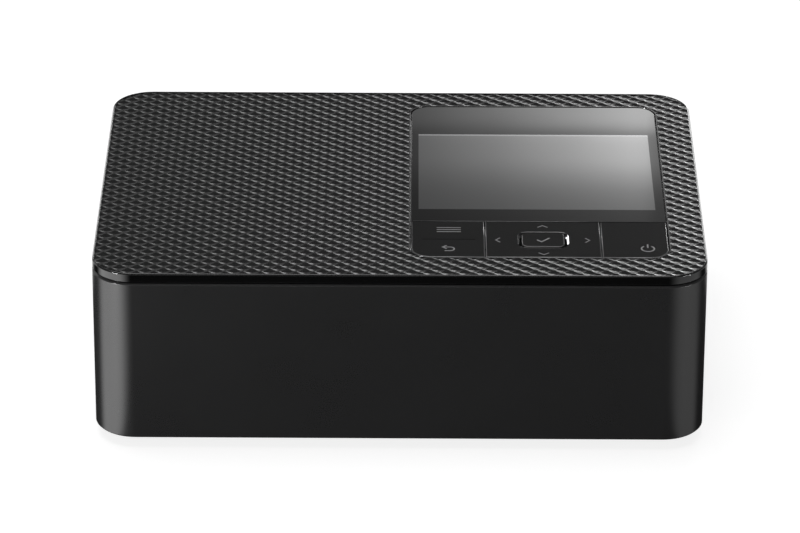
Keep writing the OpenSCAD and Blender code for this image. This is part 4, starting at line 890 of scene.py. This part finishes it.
def camera():
    """Camera at the photograph's place: 25.9 degrees down, 1.5 m away."""
    ahead = Vector((math.sin(CAMERA_TURN) * math.cos(CAMERA_TILT),
                    math.cos(CAMERA_TURN) * math.cos(CAMERA_TILT), -math.sin(CAMERA_TILT)))
    right = Vector((math.cos(CAMERA_TURN), -math.sin(CAMERA_TURN), 0))
    up = right.cross(ahead)
    across = right * math.cos(CAMERA_ROLL) + up * math.sin(CAMERA_ROLL)
    upward = up * math.cos(CAMERA_ROLL) - right * math.sin(CAMERA_ROLL)
    data = bpy.data.cameras.new("photo camera")
    data.sensor_width = SENSOR_W
    data.lens = FOCAL_PIXELS * SENSOR_W / PICTURE_WIDTH
    data.clip_start, data.clip_end = CAMERA_NEAR, CAMERA_FAR
    view = bpy.data.objects.new("photo camera", data)
    bpy.context.scene.collection.objects.link(view)
    turn = Matrix((across, upward, -ahead)).transposed().to_4x4()
    turn.translation = mm(*CAMERA_PLACE)
    view.matrix_world = turn
    bpy.context.scene.camera = view


def corner_white(n, axes, side, share, row):
    """Where the floor stays white beside one front corner, by the angle round it."""
    aside = n.math("MULTIPLY", axes["X"], side, place=(-8, row))
    out = n.math("SUBTRACT", aside, CORNER_X, place=(-7, row))
    near = n.math("SUBTRACT", CORNER_Y, axes["Y"], place=(-7, row + 1))
    angle = n.math("DEGREES", n.math("ARCTAN2", near, out, place=(-6, row)), place=(-5, row))
    white = between(n, angle, CORNER_GROWS, CORNER_FADES, (-4, row))
    return n.math("MULTIPLY", white, share, place=(-1, row))


def floor_finish():
    """White floor that keeps the shadow. In reflections it is dark ahead of the printer, but for
    the parts that the front corners look out to, more so at the left one.
    """
    material, n, where = bare_material("white floor")
    axes = axes_of(n, where, (-9, 1))
    whites = [corner_white(n, axes, side, share, 2 * i) for i, (side, share) in enumerate(CORNER_SIDES)]
    open_part = opposite(n, n.math("MAXIMUM", *whites, place=(0, 0)), (1, 0))
    ahead = opposite(n, ramp(n, axes["Y"], *FLOOR_DARK_END, (-7, 5)), (-6, 5))
    shadowed = n.math("MULTIPLY", ahead, open_part, place=(2, 0))
    dark = n.math("MULTIPLY", shadowed, FLOOR_DARK, place=(3, 0))

    ray = n.add("ShaderNodeLightPath", (-5, 6)).outputs
    mirror = n.math("DIVIDE", ray["Is Glossy Ray"], FLOOR_GLOW, place=(3, 2))
    mirrored = n.math("MULTIPLY", mirror, opposite(n, dark, (4, 1)), place=(5, 1))
    direct = n.math("ADD", ray["Is Camera Ray"], ray["Is Transmission Ray"], clamp=True, place=(5, 3))
    seen = n.math("MULTIPLY", n.math("MAXIMUM", direct, mirrored, place=(6, 2)), FLOOR_GLOW, place=(7, 2))
    glow = n.add("ShaderNodeEmission", (8, 1), {"Color": WHITE})
    n.link(seen, glow.inputs["Strength"])
    hidden = n.math("MULTIPLY", ray["Is Glossy Ray"], dark, place=(5, 5))
    tone = n.math("MULTIPLY", opposite(n, hidden, (6, 5)), FLOOR_TONE, place=(7, 5))
    plain = n.add("ShaderNodeBsdfDiffuse", (8, 3))
    n.link(tone, plain.inputs["Color"])
    both = n.add("ShaderNodeAddShader", (9, 2))
    n.link(glow.outputs[0], both.inputs[0])
    n.link(plain.outputs[0], both.inputs[1])
    put_out(n, "ShaderNodeOutputMaterial", both.outputs[0], (10, 2))
    return material


def floor():
    """Flat floor below the printer's feet."""
    bm = bmesh.new()
    bmesh.ops.create_grid(bm, x_segments=1, y_segments=1, size=FLOOR_HALF)
    mesh = bpy.data.meshes.new("floor")
    bm.to_mesh(mesh)
    bm.free()
    new_object("floor", mesh, floor_finish())


def softbox(name, place, aim, size, power):
    """Rectangular lamp aimed at a point, in metres."""
    data = bpy.data.lights.new(name, "AREA")
    data.shape = "RECTANGLE"
    data.size, data.size_y = size
    data.energy = power
    lamp = bpy.data.objects.new(name, data)
    bpy.context.scene.collection.objects.link(lamp)
    lamp.location = place
    lamp.rotation_mode = "QUATERNION"
    lamp.rotation_quaternion = (Vector(aim) - Vector(place)).to_track_quat("-Z", "Y")


def lobe_light(n, turn, climb):
    """Soft light behind the right, which the top and the window mirror."""
    sweep = profile(n, turn, [(angle, strength / LOBE_LEVEL) for angle, strength in LOBE_SWEEP], (-5, 0))
    lid = profile(n, climb, LOBE_LID, (-5, 2))
    height = n.math("MULTIPLY", ramp(n, climb, *LOBE_FOOT, (-5, 3)), lid, place=(-3, 2))
    lobe = n.math("MULTIPLY", sweep, height, place=(-2, 0))
    return n.math("MULTIPLY", lobe, LOBE_LEVEL, place=(-1, 0))


def card_light(n, turn, climb):
    """Smaller light behind the left, which only steep edges and the well of the four-way key mirror."""
    sideways = between(n, turn, CARD_GROWS, CARD_FADES, (-5, 5))
    height = between(n, climb, CARD_FOOT, CARD_LID, (-5, 7))
    card = n.math("MULTIPLY", sideways, height, place=(-2, 5))
    return n.math("MULTIPLY", card, CARD_LEVEL, place=(-1, 5))


def sky():
    """White background, with two soft lights low behind the printer."""
    world = bpy.data.worlds.new("studio")
    bpy.context.scene.world = world
    world.use_nodes = True
    world.node_tree.nodes.clear()
    n = Nodes(world.node_tree)
    where = n.add("ShaderNodeTexCoord", (-9, 2)).outputs["Generated"]
    way = axes_of(n, where, (-8, 2))
    # Angle to the right of straight back, and height over the horizon, both in degrees
    turn = n.math("DEGREES", n.math("ARCTAN2", way["X"], way["Y"], place=(-7, 1)), place=(-6, 1))
    climb = n.math("DEGREES", n.math("ARCSINE", way["Z"], place=(-7, 3)), place=(-6, 3))
    lobe = n.math("ADD", lobe_light(n, turn, climb), AMBIENT, place=(0, 0))
    lit = n.math("ADD", lobe, card_light(n, turn, climb), place=(0, 5))

    # Straight on, through clear parts and in mirror images near the horizon the background is white
    ray = n.add("ShaderNodeLightPath", (-3, 10)).outputs
    low = opposite(n, ramp(n, climb, *HORIZON, (-5, 9)), (-4, 9))
    mirrored = n.math("MULTIPLY", ray["Is Glossy Ray"], low, place=(-2, 9))
    direct = n.math("ADD", ray["Is Camera Ray"], ray["Is Transmission Ray"], clamp=True, place=(-2, 10))
    white = n.math("MAXIMUM", direct, mirrored, place=(-1, 9))
    level = n.add("ShaderNodeMix", (1, 2), {"B": 1.0}, data_type="FLOAT")
    n.link(white, level.inputs["Factor"])
    n.link(lit, level.inputs["A"])
    background = n.add("ShaderNodeBackground", (2, 2), {"Color": WHITE})
    n.link(level.outputs["Result"], background.inputs["Strength"])
    put_out(n, "ShaderNodeOutputWorld", background.outputs[0], (3, 2))


def main():
    camera()
    floor()
    sky()
    for lamp in LAMPS:
        softbox(*lamp)
    bpy.context.scene.view_settings.view_transform = "Standard"
    ridged_top()
    opening_trim()
    dressed_solids()
    direction_key()
    well_trim()
    key_signs()
    dress_inner_parts()


main()
